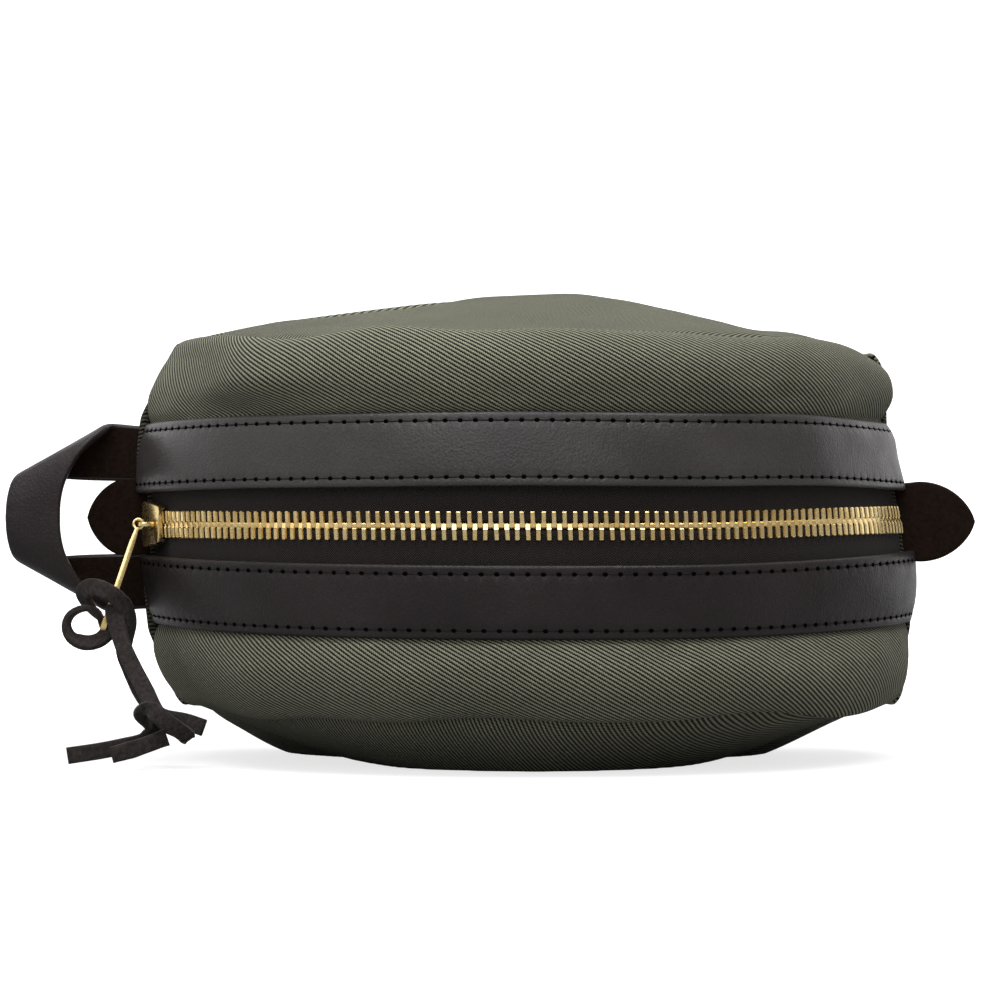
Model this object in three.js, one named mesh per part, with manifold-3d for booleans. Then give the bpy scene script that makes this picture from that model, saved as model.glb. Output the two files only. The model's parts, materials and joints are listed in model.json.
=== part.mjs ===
// A shaving kit bag: a twill wash bag with leather trim and a brass zip round one long side.
// It lies on its back panel. +X runs along the bag (the handle is at -X), -Y is the zip side,
// +Y is the bag's bottom, +Z is up, and the origin is on the face the bag lies on. Millimetres.
import * as THREE from "three";
import { mergeVertices } from "three/addons/utils/BufferGeometryUtils.js";
import Module from "manifold-3d";

const wasm = await Module();
wasm.setup();

// ---- Overall form -------------------------------------------------------------------------
const TRACK_R = 141; // radius of the curved zip side, over the leather strips
const TRACK_Y = 49; // centre of that curve
const END_TURN = THREE.MathUtils.degToRad(70.5); // where the curve gives way to the shoulders
const SHOULDER_R = 16; // tight bend that brings each end parallel to Y
const BOTTOM_Y = 63; // the bag's bottom, over the wall's proud line
const CORNER_R = 38; // plan corners of the bag's bottom
const ZIP_SIDE_HALF = 61.5; // half the wall's width on the zip side, seam to zip line
const BOTTOM_FLARE = 12; // how much further out the seams stand at the bottom
const FRONT_RISE = 16.5; // crown of the front panel above its seam
const FRONT_FULLNESS = 2.3; // exponent of the crown's fall towards the seam
const BACK_RISE = 26; // the back panel's crown, before it is pressed flat by what the bag lies on
const BACK_FULLNESS = 2.8;
const BACK_PRESSED = 17.1; // what is left of that crown above the zip side's seam
const PANEL_CROWN_Y = -12; // where both crowns are
const LEAN = 0.04; // the filled bag leans along X as it rises

// ---- Materials' thicknesses and clearances ----------------------------------------------------
const TWILL = 2; // twill with its lining
const LEATHER = 2.6; // edge strips
const TAPE = 1; // zip tape
const POCKET = 0.9; // pocket cloth
const LAYER_GAP = 0.3; // between sewn layers
const SEAM_GAP = 0.4; // between two pieces along a seam
const CROSS_SEAM_HALF = 1.9; // half the slot in the wall that takes each cross seam
const SEAM_SETBACK = 8.1; // the long seams lie this far in from the wall's proud line
const BINDING = 1.2; // cloth tape over the raw edges
const BINDING_WIDTH = 6;
const BINDING_IN = 3.4; // tape's edge, in from the seam

// ---- Leather edge strips ----------------------------------------------------------------------
const STRIP_FROM = 12.7; // strip's inner edge from the zip line at the middle of the zip
const STRIP_WIDTH = 24;
const STRIP_SAG = 2.2; // how far the strip's outer edge lies in
const STRIP_CLOSING = 2.2; // the strips come this much nearer the zip line at the ends

// ---- Zip --------------------------------------------------------------------------------------
const PITCH = 3.5; // tooth pitch along one row
const TOOTH = 0.443 * PITCH; // tooth width
const TOOTH_TIP = 0.7; // how far a tooth reaches past the zip line
const ROW_FROM = 1; // solid part of a row, from the zip line
const ROW_TO = 4.45;
const ROW_DEPTH = 4.2; // through the wall
const TAPE_TO = 21; // tape edge, sewn under strip and twill
const SHUT_CLEAR = 0.069; // between the slider of the shut zip and the cross seam
const SLIDER_LENGTH = 18;
const SLIDER_WIDTH = 15.6;
const SLIDER_TAIL = 13.2;
const SLIDER_PLATE = 1.6;
const SLIDER_CLEAR = 0.7; // slider to teeth
const SLIT = 3.1; // slot between the slider's flanges, for the tape
const BAIL_LENGTH = 12;
const BAIL_WIDTH = 2.8;
const BAIL_HEIGHT = 5;
const BAIL_BAR = 1.8;
const BAIL_CORNER = 1.6;
const POST_FROM = 1.2; // the slider's middle post, from its front edge
const POST_LENGTH = 3;
const POST_HALF = 1.3;
const STOP = 2; // the cast stops' length
const STOP_DEPTH = 3;
const STOP_FROM = 1.6; // the top stops' inner edge, from the zip line

// ---- Pull and lace ----------------------------------------------------------------------------
const PULL_LENGTH = 40; // bail bar to the pull's free end
const PULL_WIDTH = 9;
const PULL_THICK = 2;
const PULL_LEAN = THREE.MathUtils.degToRad(20); // the pull hangs this far off the bag
const EYE_BORE = 4.2; // ring on the pull that goes round the bail bar
const EYE_RIM = 1.2;
const EYE_WIDTH = 4.4;
const LACE_HOLE_UP = 4.6; // hole's centre above the pull's free end
const LACE_HOLE = [6.4, 3.4]; // across and along the pull
const HITCH_R = 4.8;
const HITCH_ROD = 0.9;

// ---- Handle and end tabs ----------------------------------------------------------------------
const HANDLE_WIDTH = 19.5;
const HANDLE_THICK = 2.8;
const HANDLE_REACH = 34; // middle of the strap beyond the seam
const HANDLE_LEG = 8; // straight run out of the seam
const LEG_CLEAR = 0.8; // between each leg and the tab
const LEFT_LIFT = 2.25; // the handle and the left tab are centred this far above the zip line
const TAB_WIDTH = 26;
const TAB_THICK = 3;
const TAB_REACH = { left: 17.5, right: 20.5 };
const FLEX_GAP = 1.4; // the handle's and tabs' start, clear of the wall they flex against

const FAR = 400; // beyond the bag in every direction
const MID_Z = ZIP_SIDE_HALF + SEAM_GAP + TWILL + BACK_PRESSED; // zip line above the resting face
const SHOULDER_X = (TRACK_R - SHOULDER_R) * Math.sin(END_TURN);
const SEAM_Y = TRACK_Y - (TRACK_R - SHOULDER_R) * Math.cos(END_TURN); // both cross seams, and the bend
const HALF_LENGTH = SHOULDER_X + SHOULDER_R;
const CORNER_X = HALF_LENGTH - CORNER_R;
const CORNER_Y = BOTTOM_Y - CORNER_R;
const ARC_END = TRACK_R * END_TURN; // distances along the outline from the middle of the zip side
const SEAM_AT = ARC_END + SHOULDER_R * (Math.PI / 2 - END_TURN);
const CORNER_AT = SEAM_AT + CORNER_Y - SEAM_Y;
const STRAIGHT_AT = CORNER_AT + (CORNER_R * Math.PI) / 2;
const HALF_GIRTH = STRAIGHT_AT + CORNER_X;
const WALL = LEATHER + LAYER_GAP; // the twill lies this far in from the outline
const SEAM_IN = WALL + SEAM_SETBACK;
const TAPE_IN = WALL + TWILL + LAYER_GAP;
const ZIP_IN = TAPE_IN + TAPE / 2; // middle of the tape and the teeth
const TAPE_FROM = ROW_TO + LAYER_GAP;
const STRIP_TO = STRIP_FROM + STRIP_WIDTH;
const LOBE = ZIP_SIDE_HALF - STRIP_TO; // width of the twill that swells out beside each strip
const SLIDER_R = TRACK_R - ZIP_IN;
const PLATE_OUT = ROW_DEPTH / 2 + SLIDER_CLEAR + SLIDER_PLATE;
// When the zip is shut, the slider's inner front corner is SHUT_CLEAR from the cross seam.
const SLIDER_CORNER = new THREE.Vector2(SLIDER_R - PLATE_OUT, SLIDER_LENGTH / 2);
const SLIDER_DROP = TRACK_Y - SEAM_Y + CROSS_SEAM_HALF - SEAM_GAP + SHUT_CLEAR;
const SLIDER_TURN = Math.acos(SLIDER_DROP / SLIDER_CORNER.length()) - SLIDER_CORNER.angle();
const STOP_AT = SLIDER_TURN * TRACK_R + (SLIDER_LENGTH + STOP) / 2 + LAYER_GAP; // along the outline
const BAR_OUT = PLATE_OUT + BAIL_HEIGHT - BAIL_BAR / 2;
const HANDLE_RISE = (TAB_WIDTH + HANDLE_WIDTH) / 2 + LEG_CLEAR; // from the tab's middle to each leg's

const twill = { color: 0x56594a, roughness: 0.92, metalness: 0 };
const lining = { color: 0x6b6655, roughness: 0.95, metalness: 0 };
const leather = { color: 0x352e2c, roughness: 0.55, metalness: 0 };
const suede = { color: 0x2a211e, roughness: 0.9, metalness: 0 };
const webbing = { color: 0x3a322f, roughness: 0.9, metalness: 0 };
const brass = { color: 0xc9a560, roughness: 0.32, metalness: 1 };

// ---- Solids -----------------------------------------------------------------------------------
function toSolid(geometry) {
  const bare = new THREE.BufferGeometry().setAttribute("position", geometry.getAttribute("position"));
  bare.setIndex(geometry.index);
  const merged = mergeVertices(bare, 1e-4); // also drops points that no face uses
  const corners = [];
  const index = merged.index.array;
  for (let i = 0; i < index.length; i += 3) {
    const [a, b, c] = index.slice(i, i + 3);
    if (a !== b && b !== c && c !== a) corners.push(a, b, c);
  }
  const vertProperties = merged.getAttribute("position").array;
  const make = (triVerts) =>
    new wasm.Manifold(new wasm.Mesh({ numProp: 3, vertProperties, triVerts: new Uint32Array(triVerts) }));
  const solid = make(corners);
  return solid.volume() > 0 ? solid : make(corners.reverse());
}

function toGeometry(solid) {
  const { vertProperties, triVerts } = solid.getMesh();
  const geometry = new THREE.BufferGeometry();
  geometry.setAttribute("position", new THREE.BufferAttribute(vertProperties, 3));
  return geometry.setIndex(new THREE.BufferAttribute(triVerts, 1));
}

function box(x0, x1, y0, y1, z0, z1) {
  const geometry = new THREE.BoxGeometry(x1 - x0, y1 - y0, z1 - z0);
  return toSolid(geometry.translate((x0 + x1) / 2, (y0 + y1) / 2, (z0 + z1) / 2));
}

function extruded(shape, depth, curveSegments = 6) {
  return new THREE.ExtrudeGeometry(shape, { depth, bevelEnabled: false, curveSegments });
}

// A thick sheet: at(u, v, side) gives a point of its outer (side 0) or inner (side 1) face.
function sheet(at, across, along, closed = false) {
  const points = [];
  const index = [];
  const columns = closed ? across : across + 1;
  const id = (i, j, side) => ((i % columns) * (along + 1) + j) * 2 + side;
  for (let i = 0; i < columns; i++) {
    for (let j = 0; j <= along; j++) {
      for (const side of [0, 1]) points.push(...at(i / across, j / along, side));
    }
  }
  const quad = (a, b, c, d) => index.push(a, b, c, a, c, d);
  for (let i = 0; i < across; i++) {
    for (let j = 0; j < along; j++) {
      quad(id(i, j, 0), id(i + 1, j, 0), id(i + 1, j + 1, 0), id(i, j + 1, 0));
      quad(id(i, j, 1), id(i, j + 1, 1), id(i + 1, j + 1, 1), id(i + 1, j, 1));
    }
    quad(id(i, 0, 0), id(i, 0, 1), id(i + 1, 0, 1), id(i + 1, 0, 0));
    quad(id(i, along, 0), id(i + 1, along, 0), id(i + 1, along, 1), id(i, along, 1));
  }
  for (let j = 0; j < along && !closed; j++) {
    quad(id(0, j, 0), id(0, j + 1, 0), id(0, j + 1, 1), id(0, j, 1));
    quad(id(across, j, 0), id(across, j, 1), id(across, j + 1, 1), id(across, j + 1, 0));
  }
  const geometry = new THREE.BufferGeometry();
  geometry.setAttribute("position", new THREE.Float32BufferAttribute(points, 3));
  return geometry.setIndex(index);
}

function part(parent, name, shape, finish) {
  const solid = shape.isBufferGeometry ? toSolid(shape) : shape;
  const geometry = toGeometry(solid);
  geometry.computeVertexNormals();
  const mesh = new THREE.Mesh(geometry, new THREE.MeshStandardMaterial(finish));
  mesh.name = name;
  parent.add(mesh);
  return mesh;
}

// ---- The bag's outline ------------------------------------------------------------------------
// The point `inset` inside the outline, at `along` from the middle of the zip side (+ is right).
function outline(along, inset) {
  const side = along < 0 ? -1 : 1;
  const s = Math.abs(along);
  const bend = (cx, cy, r, turn) => {
    const reach = r - inset;
    return [side * (cx + reach * Math.sin(turn)), cy - reach * Math.cos(turn)];
  };
  if (s <= ARC_END) return bend(0, TRACK_Y, TRACK_R, s / TRACK_R);
  if (s <= SEAM_AT) return bend(SHOULDER_X, SEAM_Y, SHOULDER_R, END_TURN + (s - ARC_END) / SHOULDER_R);
  if (s <= CORNER_AT) return [side * (HALF_LENGTH - inset), SEAM_Y + s - SEAM_AT];
  if (s <= STRAIGHT_AT) return bend(CORNER_X, CORNER_Y, CORNER_R, Math.PI / 2 + (s - CORNER_AT) / CORNER_R);
  return [side * (CORNER_X - s + STRAIGHT_AT), BOTTOM_Y - inset];
}

// Half the wall's width, seam to zip line, which grows towards the bag's bottom.
function seamHalf(y) {
  const t = THREE.MathUtils.clamp((y - SEAM_Y) / (BOTTOM_Y - SEAM_Y), 0, 1);
  return ZIP_SIDE_HALF + BOTTOM_FLARE * Math.sin((t * Math.PI) / 2);
}

// A point of the wall: `off` above (+) or below (-) the zip line.
function wallPoint(along, inset, off) {
  const [x, y] = outline(along, inset);
  return [x - LEAN * off, y, MID_Z + off];
}

// Near the ends the strips and what lies under them come closer to the zip line.
function closing(off, along) {
  const rise = (off - TAPE_FROM) / (STRIP_FROM - TAPE_FROM);
  const share = Math.min(rise, 1, (ZIP_SIDE_HALF - off) / (ZIP_SIDE_HALF - STRIP_TO));
  return off - STRIP_CLOSING * share * (along / SEAM_AT) ** 2;
}

// A wall piece whose section is a line of [off, inset] points, thickened inwards.
function wallSheet(section, from, to, pieces, thick, up, place = closing) {
  const last = section.length - 1;
  const inward = section.map((point, i) => {
    const before = section[Math.max(i - 1, 0)];
    const after = section[Math.min(i + 1, last)];
    const run = new THREE.Vector2(after[0] - before[0], after[1] - before[1]).normalize();
    return [point[0] - run.y * thick, point[1] + run.x * thick];
  });
  return sheet((u, v, side) => {
    const [off, inset] = (side ? inward : section)[Math.round(v * last)];
    const along = THREE.MathUtils.lerp(from, to, u);
    return wallPoint(along, inset, up * place(off, along));
  }, pieces, last);
}

// ---- Twill walls and panels -------------------------------------------------------------------
const ZIP_WALL = [
  [STRIP_FROM + 1, WALL],
  [STRIP_TO - 12, WALL + STRIP_SAG * 0.4],
  [STRIP_TO, WALL + STRIP_SAG],
  [STRIP_TO + 0.2 * LOBE, WALL + 0.4],
  [STRIP_TO + 0.44 * LOBE, WALL],
  [STRIP_TO + 0.76 * LOBE, WALL + 2.6],
  [ZIP_SIDE_HALF, SEAM_IN],
];
const STRIP = [
  [STRIP_FROM, 0],
  [STRIP_TO - 12, STRIP_SAG * 0.4],
  [STRIP_TO, STRIP_SAG],
];
const beforeSeam = box(-FAR, FAR, -FAR, SEAM_Y - CROSS_SEAM_HALF, -FAR, FAR);

function zipWall(up) {
  return toSolid(wallSheet(ZIP_WALL, -SEAM_AT, SEAM_AT, 36, TWILL, up)).intersect(beforeSeam);
}

function strip(up) {
  return toSolid(wallSheet(STRIP, -SEAM_AT, SEAM_AT, 40, LEATHER, up)).intersect(beforeSeam);
}

function zipTape(up) {
  const tape = [
    [TAPE_FROM, TAPE_IN],
    [TAPE_TO, TAPE_IN + STRIP_SAG * 0.4],
  ];
  return toSolid(wallSheet(tape, -SEAM_AT, SEAM_AT, 40, TAPE, up)).intersect(beforeSeam);
}

// The wall round the bottom, from one cross seam to the other, seam to seam.
function bottomWall() {
  const rows = [
    [1, SEAM_SETBACK],
    [0.94, 0.46 * SEAM_SETBACK],
    [0.86, 0.14 * SEAM_SETBACK],
    [0.72, 0],
  ];
  const section = [...rows.map(([share, drop]) => [-share, drop]), ...rows.reverse()];
  const tuck = 0.9; // how far the inner face draws in at the seams
  const from = SEAM_AT + CROSS_SEAM_HALF;
  const length = 2 * (HALF_GIRTH - from);
  return sheet((u, v, side) => {
    const [share, drop] = section[Math.round(v * (section.length - 1))];
    let along = from + u * length;
    if (along > HALF_GIRTH) along -= 2 * HALF_GIRTH;
    const inset = WALL + drop;
    const half = seamHalf(outline(along, inset)[1]);
    const thick = Math.abs(share) === 1 ? TWILL / 2 : TWILL;
    const drawn = (Math.sign(share) * tuck * drop) / SEAM_SETBACK;
    return wallPoint(along, inset + side * thick, share * half - side * drawn);
  }, 36, section.length - 1);
}

// A large panel's outer face, measured from the zip line, at share `out` of the way to its seam.
function crown(up, x, y, out) {
  const seam = seamHalf(y) + SEAM_GAP + TWILL;
  if (up > 0) return seam + FRONT_RISE * (1 - out ** FRONT_FULLNESS);
  const rise = BACK_RISE * (1 - (x / HALF_LENGTH) ** 2);
  return Math.min(seam + rise * (1 - out ** BACK_FULLNESS), MID_Z);
}

// A dome-shaped layer that lies `under` its large panel's outer face.
function domed(up, under, thick) {
  const edgeIn = SEAM_IN - 1;
  return sheet((u, v, side) => {
    const [edgeX, edgeY] = outline((2 * u - 1) * HALF_GIRTH, edgeIn);
    const out = Math.sin((v * Math.PI) / 2);
    const x = edgeX * out;
    const y = PANEL_CROWN_Y + (edgeY - PANEL_CROWN_Y) * out;
    const lift = crown(up, x, y, out) - under - side * thick;
    return [x - LEAN * up * lift, y, MID_Z + up * lift];
  }, 48, 5, true);
}

// Cloth tape over the raw edges of a long seam, inside the bag.
function seamBinding(up) {
  return sheet((u, v, side) => {
    const along = (2 * u - 1) * HALF_GIRTH;
    const inset = SEAM_IN + BINDING_IN + v * BINDING_WIDTH;
    const half = seamHalf(outline(along, SEAM_IN)[1]) - SEAM_GAP - side * BINDING;
    return wallPoint(along, inset, up * half);
  }, 48, 1, true);
}

// The folded seam at each end, with the sewn-in roots of the handle and the tab.
function crossSeam(side) {
  const thick = CROSS_SEAM_HALF - SEAM_GAP;
  const face = WALL + LAYER_GAP;
  const edge = [
    [0, face],
    [STRIP_TO, face + STRIP_SAG],
    [STRIP_TO + 0.44 * LOBE, face],
    [STRIP_TO + 0.74 * LOBE, face + 2.6],
  ];
  const mirrored = edge.slice(1).reverse();
  const tall = [...mirrored.map(([off, inset]) => [-off, inset]), ...edge];
  const shape = new THREE.Shape();
  tall.forEach(([off, inset], i) => {
    const point = [side * (HALF_LENGTH - inset) - LEAN * off, off];
    if (i) shape.lineTo(...point);
    else shape.moveTo(...point);
  });
  const depth = WALL + SEAM_SETBACK + 0.9;
  const back = STRIP_TO + 0.54 * LOBE;
  shape.lineTo(side * (HALF_LENGTH - depth) - LEAN * back, back);
  shape.lineTo(side * (HALF_LENGTH - depth) + LEAN * back, -back);
  return extruded(shape, 2 * thick).rotateX(Math.PI / 2).translate(0, SEAM_Y + thick, MID_Z);
}

// An open pocket sewn flat inside a large panel.
function pocket(up, halfWidth, y0, y1) {
  const layer = toSolid(domed(up, TWILL + 2 * LAYER_GAP, POCKET));
  return layer.intersect(box(-halfWidth, halfWidth, y0, y1, -FAR, FAR));
}

// ---- Zip --------------------------------------------------------------------------------------
// One row: a solid edge with a tooth on it at every pitch, reaching past the zip line.
function teethRow(up) {
  const from = -SLIDER_TURN * TRACK_R - 2;
  const to = STOP_AT - STOP / 2 - SEAM_GAP;
  const stations = [from - 1];
  for (let s = from + (up > 0 ? 0 : PITCH / 2); s + TOOTH < to; s += PITCH) stations.push(s, s + TOOTH);
  stations.push(to);
  const points = [];
  for (const s of stations) {
    for (const off of [ROW_TO, ROW_FROM, -TOOTH_TIP]) {
      for (const depth of [-0.5, 0.5]) points.push(...wallPoint(s, ZIP_IN + depth * ROW_DEPTH, up * off));
    }
  }
  const index = [];
  const quad = (a, b, c, d) => index.push(a, b, c, a, c, d);
  const last = stations.length - 1;
  const bar = (i, back, edge) => {
    const [p, q] = [6 * i, 6 * (i + 1)];
    quad(p + back, q + back, q + edge, p + edge);
    quad(p + back + 1, p + edge + 1, q + edge + 1, q + back + 1);
  };
  for (let i = 0; i < last; i++) {
    const [p, q] = [6 * i, 6 * (i + 1)];
    const tooth = i % 2 === 1 && i < last - 1;
    const front = tooth ? 4 : 2;
    bar(i, 0, 2);
    quad(p, p + 1, q + 1, q);
    quad(p + front, q + front, q + front + 1, p + front + 1);
    if (tooth) {
      bar(i, 2, 4);
      quad(p + 2, p + 4, p + 5, p + 3);
      quad(q + 2, q + 3, q + 5, q + 4);
    }
  }
  const end = 6 * last;
  quad(0, 2, 3, 1);
  quad(end, end + 1, end + 3, end + 2);
  const geometry = new THREE.BufferGeometry();
  geometry.setAttribute("position", new THREE.Float32BufferAttribute(points, 3));
  return geometry.setIndex(index);
}

function stopBlock(along, off0, off1) {
  const at = (u, v, side) => {
    const inset = ZIP_IN + (side - 0.5) * STOP_DEPTH;
    return wallPoint(along + (u - 0.5) * STOP, inset, off0 + v * (off1 - off0));
  };
  return sheet(at, 1, 1);
}

// The slider, at the middle of the zip with its front to the left; outward is -Y.
function sliderBody() {
  const inside = ROW_DEPTH / 2 + SLIDER_CLEAR;
  const half = SLIDER_LENGTH / 2;
  const outlineShape = new THREE.Shape();
  const corner = 2.4;
  const front = SLIDER_WIDTH / 2;
  const tail = SLIDER_TAIL / 2;
  outlineShape.moveTo(-half, -front + corner);
  outlineShape.quadraticCurveTo(-half, -front, -half + corner, -front);
  outlineShape.lineTo(half - corner, -tail);
  outlineShape.quadraticCurveTo(half, -tail, half, -tail + corner);
  outlineShape.lineTo(half, tail - corner);
  outlineShape.quadraticCurveTo(half, tail, half - corner, tail);
  outlineShape.lineTo(-half + corner, front);
  outlineShape.quadraticCurveTo(-half, front, -half, front - corner);
  const plates = extruded(outlineShape, 2 * PLATE_OUT, 2).rotateX(Math.PI / 2);
  const block = toSolid(plates.translate(0, PLATE_OUT, 0));
  const channel = ROW_TO + SLIDER_CLEAR;
  const rows = box(-half - 1, half + 1, -inside, inside, -channel, channel);
  const slit = box(-half - 1, half + 1, -SLIT / 2, SLIT / 2, -front - 1, front + 1);
  const postFrom = POST_FROM - half;
  const root = inside + SLIDER_PLATE / 2; // the post runs into both plates
  const post = box(postFrom, postFrom + POST_LENGTH, -root, root, -POST_HALF, POST_HALF);
  return block.subtract(rows).subtract(slit).add(post);
}

function bail() {
  const half = BAIL_LENGTH / 2;
  const width = BAIL_WIDTH / 2;
  const foot = PLATE_OUT + LAYER_GAP;
  const top = PLATE_OUT + BAIL_HEIGHT;
  const arch = new THREE.Shape();
  arch.moveTo(-half, foot);
  arch.lineTo(-half, top - BAIL_CORNER);
  arch.quadraticCurveTo(-half, top, -half + BAIL_CORNER, top);
  arch.lineTo(half - BAIL_CORNER, top);
  arch.quadraticCurveTo(half, top, half, top - BAIL_CORNER);
  arch.lineTo(half, foot);
  arch.lineTo(half - BAIL_BAR, foot);
  arch.lineTo(half - BAIL_BAR, top - BAIL_BAR);
  arch.lineTo(-half + BAIL_BAR, top - BAIL_BAR);
  arch.lineTo(-half + BAIL_BAR, foot);
  const plate = extruded(arch, 2 * width, 2).translate(0, 0, -width);
  return toSolid(plate.scale(1, -1, 1)).intersect(box(-half, half, -top, -foot, -width, width));
}

// The pull hangs from the bail bar at the origin: its eye is round the bar, its length is along -Z.
function pullTab() {
  const half = PULL_WIDTH / 2;
  const eyeR = EYE_BORE / 2 + EYE_RIM;
  const neck = -eyeR + EYE_RIM / 2; // where the plate runs into the eye
  const shoulder = neck - 4.6;
  const face = new THREE.Shape();
  face.moveTo(-EYE_WIDTH / 2, neck);
  face.lineTo(-half, shoulder);
  face.lineTo(-half, -PULL_LENGTH + half);
  face.absarc(0, -PULL_LENGTH + half, half, Math.PI, 2 * Math.PI, false);
  face.lineTo(half, shoulder);
  face.lineTo(EYE_WIDTH / 2, neck);
  const hole = new THREE.Path();
  const [across, along] = LACE_HOLE;
  hole.absellipse(0, -PULL_LENGTH + LACE_HOLE_UP, across / 2, along / 2, 0, 2 * Math.PI);
  face.holes.push(hole);
  const plate = extruded(face, PULL_THICK, 5).rotateX(Math.PI / 2).translate(0, PULL_THICK / 2, 0);
  const ring = new THREE.Shape().absarc(0, 0, eyeR, 0, 2 * Math.PI, false);
  ring.holes.push(new THREE.Path().absarc(0, 0, EYE_BORE / 2, 0, 2 * Math.PI, true));
  const eye = extruded(ring, EYE_WIDTH, 8).rotateY(Math.PI / 2).translate(-EYE_WIDTH / 2, 0, 0);
  return toSolid(plate).add(toSolid(eye));
}

// ---- Lace: a round-section rod along each stretch, and one solid for the knot -------------------
// X and Y are from the pull's free end. Heights are above the resting face, for a pull's end at
// LACE_TOP, and shrink or grow with it.
const LACE_TOP = 43.41;
const LACE_ROD = 2.3;
const STRAND_ROD = 3;
const LACE_STRAND = [[1.3, -2, 35], [5.8, -7, 30.5], [12.8, -15, 25], [18.3, -21, 21.8]];
const LACE_KNOT = { at: [25.8, -29, 14.5], radii: [10, 7, 10.5] };
const LACE_TAIL_LONG = [[14.8, -29.5, 7.5], [8.8, -29, 5], [0.8, -28, 3.6], [-8.2, -26, 3.4]];
const LACE_TAIL_SHORT = [[18.8, -37, 7], [14.8, -39.5, 4.6], [7.8, -41, 3.2]];

function rod(points, radius) {
  const path = new THREE.CatmullRomCurve3(points.map((p) => new THREE.Vector3(...p)));
  const section = new THREE.Shape();
  for (let i = 0; i < 8; i++) {
    const a = (i * Math.PI) / 4;
    if (i) section.lineTo(radius * Math.cos(a), radius * Math.sin(a));
    else section.moveTo(radius, 0);
  }
  const steps = Math.ceil(path.getLength() / (5 * radius));
  return new THREE.ExtrudeGeometry(section, { steps, bevelEnabled: false, extrudePath: path });
}

// ---- Handle and tabs --------------------------------------------------------------------------
// The strap leaves the seam edge-up, turns over on itself and comes back: the edge that is
// outermost at the seam is innermost at the far end of the loop.
function handle() {
  const start = -HALF_LENGTH - FLEX_GAP;
  const bowReach = HANDLE_REACH - HANDLE_LEG;
  const bow = (Math.PI * (bowReach + HANDLE_RISE)) / 4;
  const total = HANDLE_LEG + bow;
  const centre = (s) => {
    const d = Math.min(s, 2 * total - s);
    const way = s <= total ? 1 : -1;
    const a = (Math.max(d - HANDLE_LEG, 0) / bow) * (Math.PI / 2);
    const x = d <= HANDLE_LEG ? start - d : start - HANDLE_LEG - bowReach * Math.sin(a);
    return new THREE.Vector3(x, SEAM_Y, MID_Z + LEFT_LIFT + way * HANDLE_RISE * Math.cos(a));
  };
  return sheet((u, v, side) => {
    const s = u * 2 * total;
    const d = Math.min(s, 2 * total - s);
    const run = centre(Math.min(s + 0.5, 2 * total)).sub(centre(Math.max(s - 0.5, 0))).normalize();
    const inside = new THREE.Vector3(-run.z, 0, run.x);
    const twist = Math.PI * THREE.MathUtils.smoothstep(d, 1, 0.9 * total);
    const width = inside.multiplyScalar(Math.cos(twist)).add(new THREE.Vector3(0, Math.sin(twist), 0));
    const face = new THREE.Vector3().crossVectors(run, width);
    const point = centre(s).addScaledVector(width, (v - 0.5) * HANDLE_WIDTH);
    return point.addScaledVector(face, (side - 0.5) * HANDLE_THICK).toArray();
  }, 36, 2);
}

function zipTab(side, reach) {
  const half = TAB_WIDTH / 2;
  const shape = new THREE.Shape();
  const root = FLEX_GAP;
  shape.moveTo(root, -half);
  shape.quadraticCurveTo(reach * 0.6, -half * 0.94, reach, -0.8);
  shape.quadraticCurveTo(reach + 0.4, 0, reach, 0.8);
  shape.quadraticCurveTo(reach * 0.6, half * 0.94, root, half);
  const plate = extruded(shape, TAB_THICK, 6).rotateX(Math.PI / 2).translate(0, TAB_THICK / 2, 0);
  const turned = side < 0 ? plate.rotateY(Math.PI) : plate;
  const off = side < 0 ? LEFT_LIFT : 0;
  return turned.translate(side * HALF_LENGTH, SEAM_Y, MID_Z + off);
}

// ---- Assembly ---------------------------------------------------------------------------------
const bag = new THREE.Group();
const bendLine = SEAM_Y - SEAM_GAP / 2;
const mouthSide = box(-FAR, FAR, -FAR, bendLine, -FAR, FAR);
const heelSide = box(-FAR, FAR, bendLine + SEAM_GAP, FAR, -FAR, FAR);

part(bag, "back_panel", domed(-1, 0, TWILL), twill);
const front = toSolid(domed(1, 0, TWILL));
part(bag, "front_panel", front.intersect(mouthSide), twill);
part(bag, "front_panel_heel", front.intersect(heelSide), twill);
part(bag, "gusset_upper", zipWall(1), twill);
part(bag, "gusset_lower", zipWall(-1), twill);
part(bag, "bottom_gusset", bottomWall(), twill);
part(bag, "end_seam_left", crossSeam(-1), twill);
part(bag, "end_seam_right", crossSeam(1), twill);

part(bag, "back_binding", seamBinding(-1), lining);
const binding = toSolid(seamBinding(1));
part(bag, "front_binding", binding.intersect(mouthSide), lining);
part(bag, "front_binding_heel", binding.intersect(heelSide), lining);
part(bag, "pocket_back", pocket(-1, 78, -44, 36), lining);
part(bag, "pocket_front", pocket(1, 72, -48, bendLine - 3), lining);

part(bag, "strip_upper", strip(1), leather);
part(bag, "strip_lower", strip(-1), leather);
part(bag, "handle_strap", handle(), leather);
part(bag, "zip_tab_left", zipTab(-1, TAB_REACH.left), suede);
part(bag, "zip_tab_right", zipTab(1, TAB_REACH.right), suede);

part(bag, "zip_tape_upper", zipTape(1), webbing);
part(bag, "zip_tape_lower", zipTape(-1), webbing);
part(bag, "zip_teeth_upper", teethRow(1), brass);
part(bag, "zip_teeth_lower", teethRow(-1), brass);
part(bag, "top_stop_upper", stopBlock(-STOP_AT, STOP_FROM, ROW_TO), brass);
part(bag, "top_stop_lower", stopBlock(-STOP_AT, -ROW_TO, -STOP_FROM), brass);
part(bag, "bottom_stop", stopBlock(STOP_AT, -ROW_TO, ROW_TO), brass);

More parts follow.
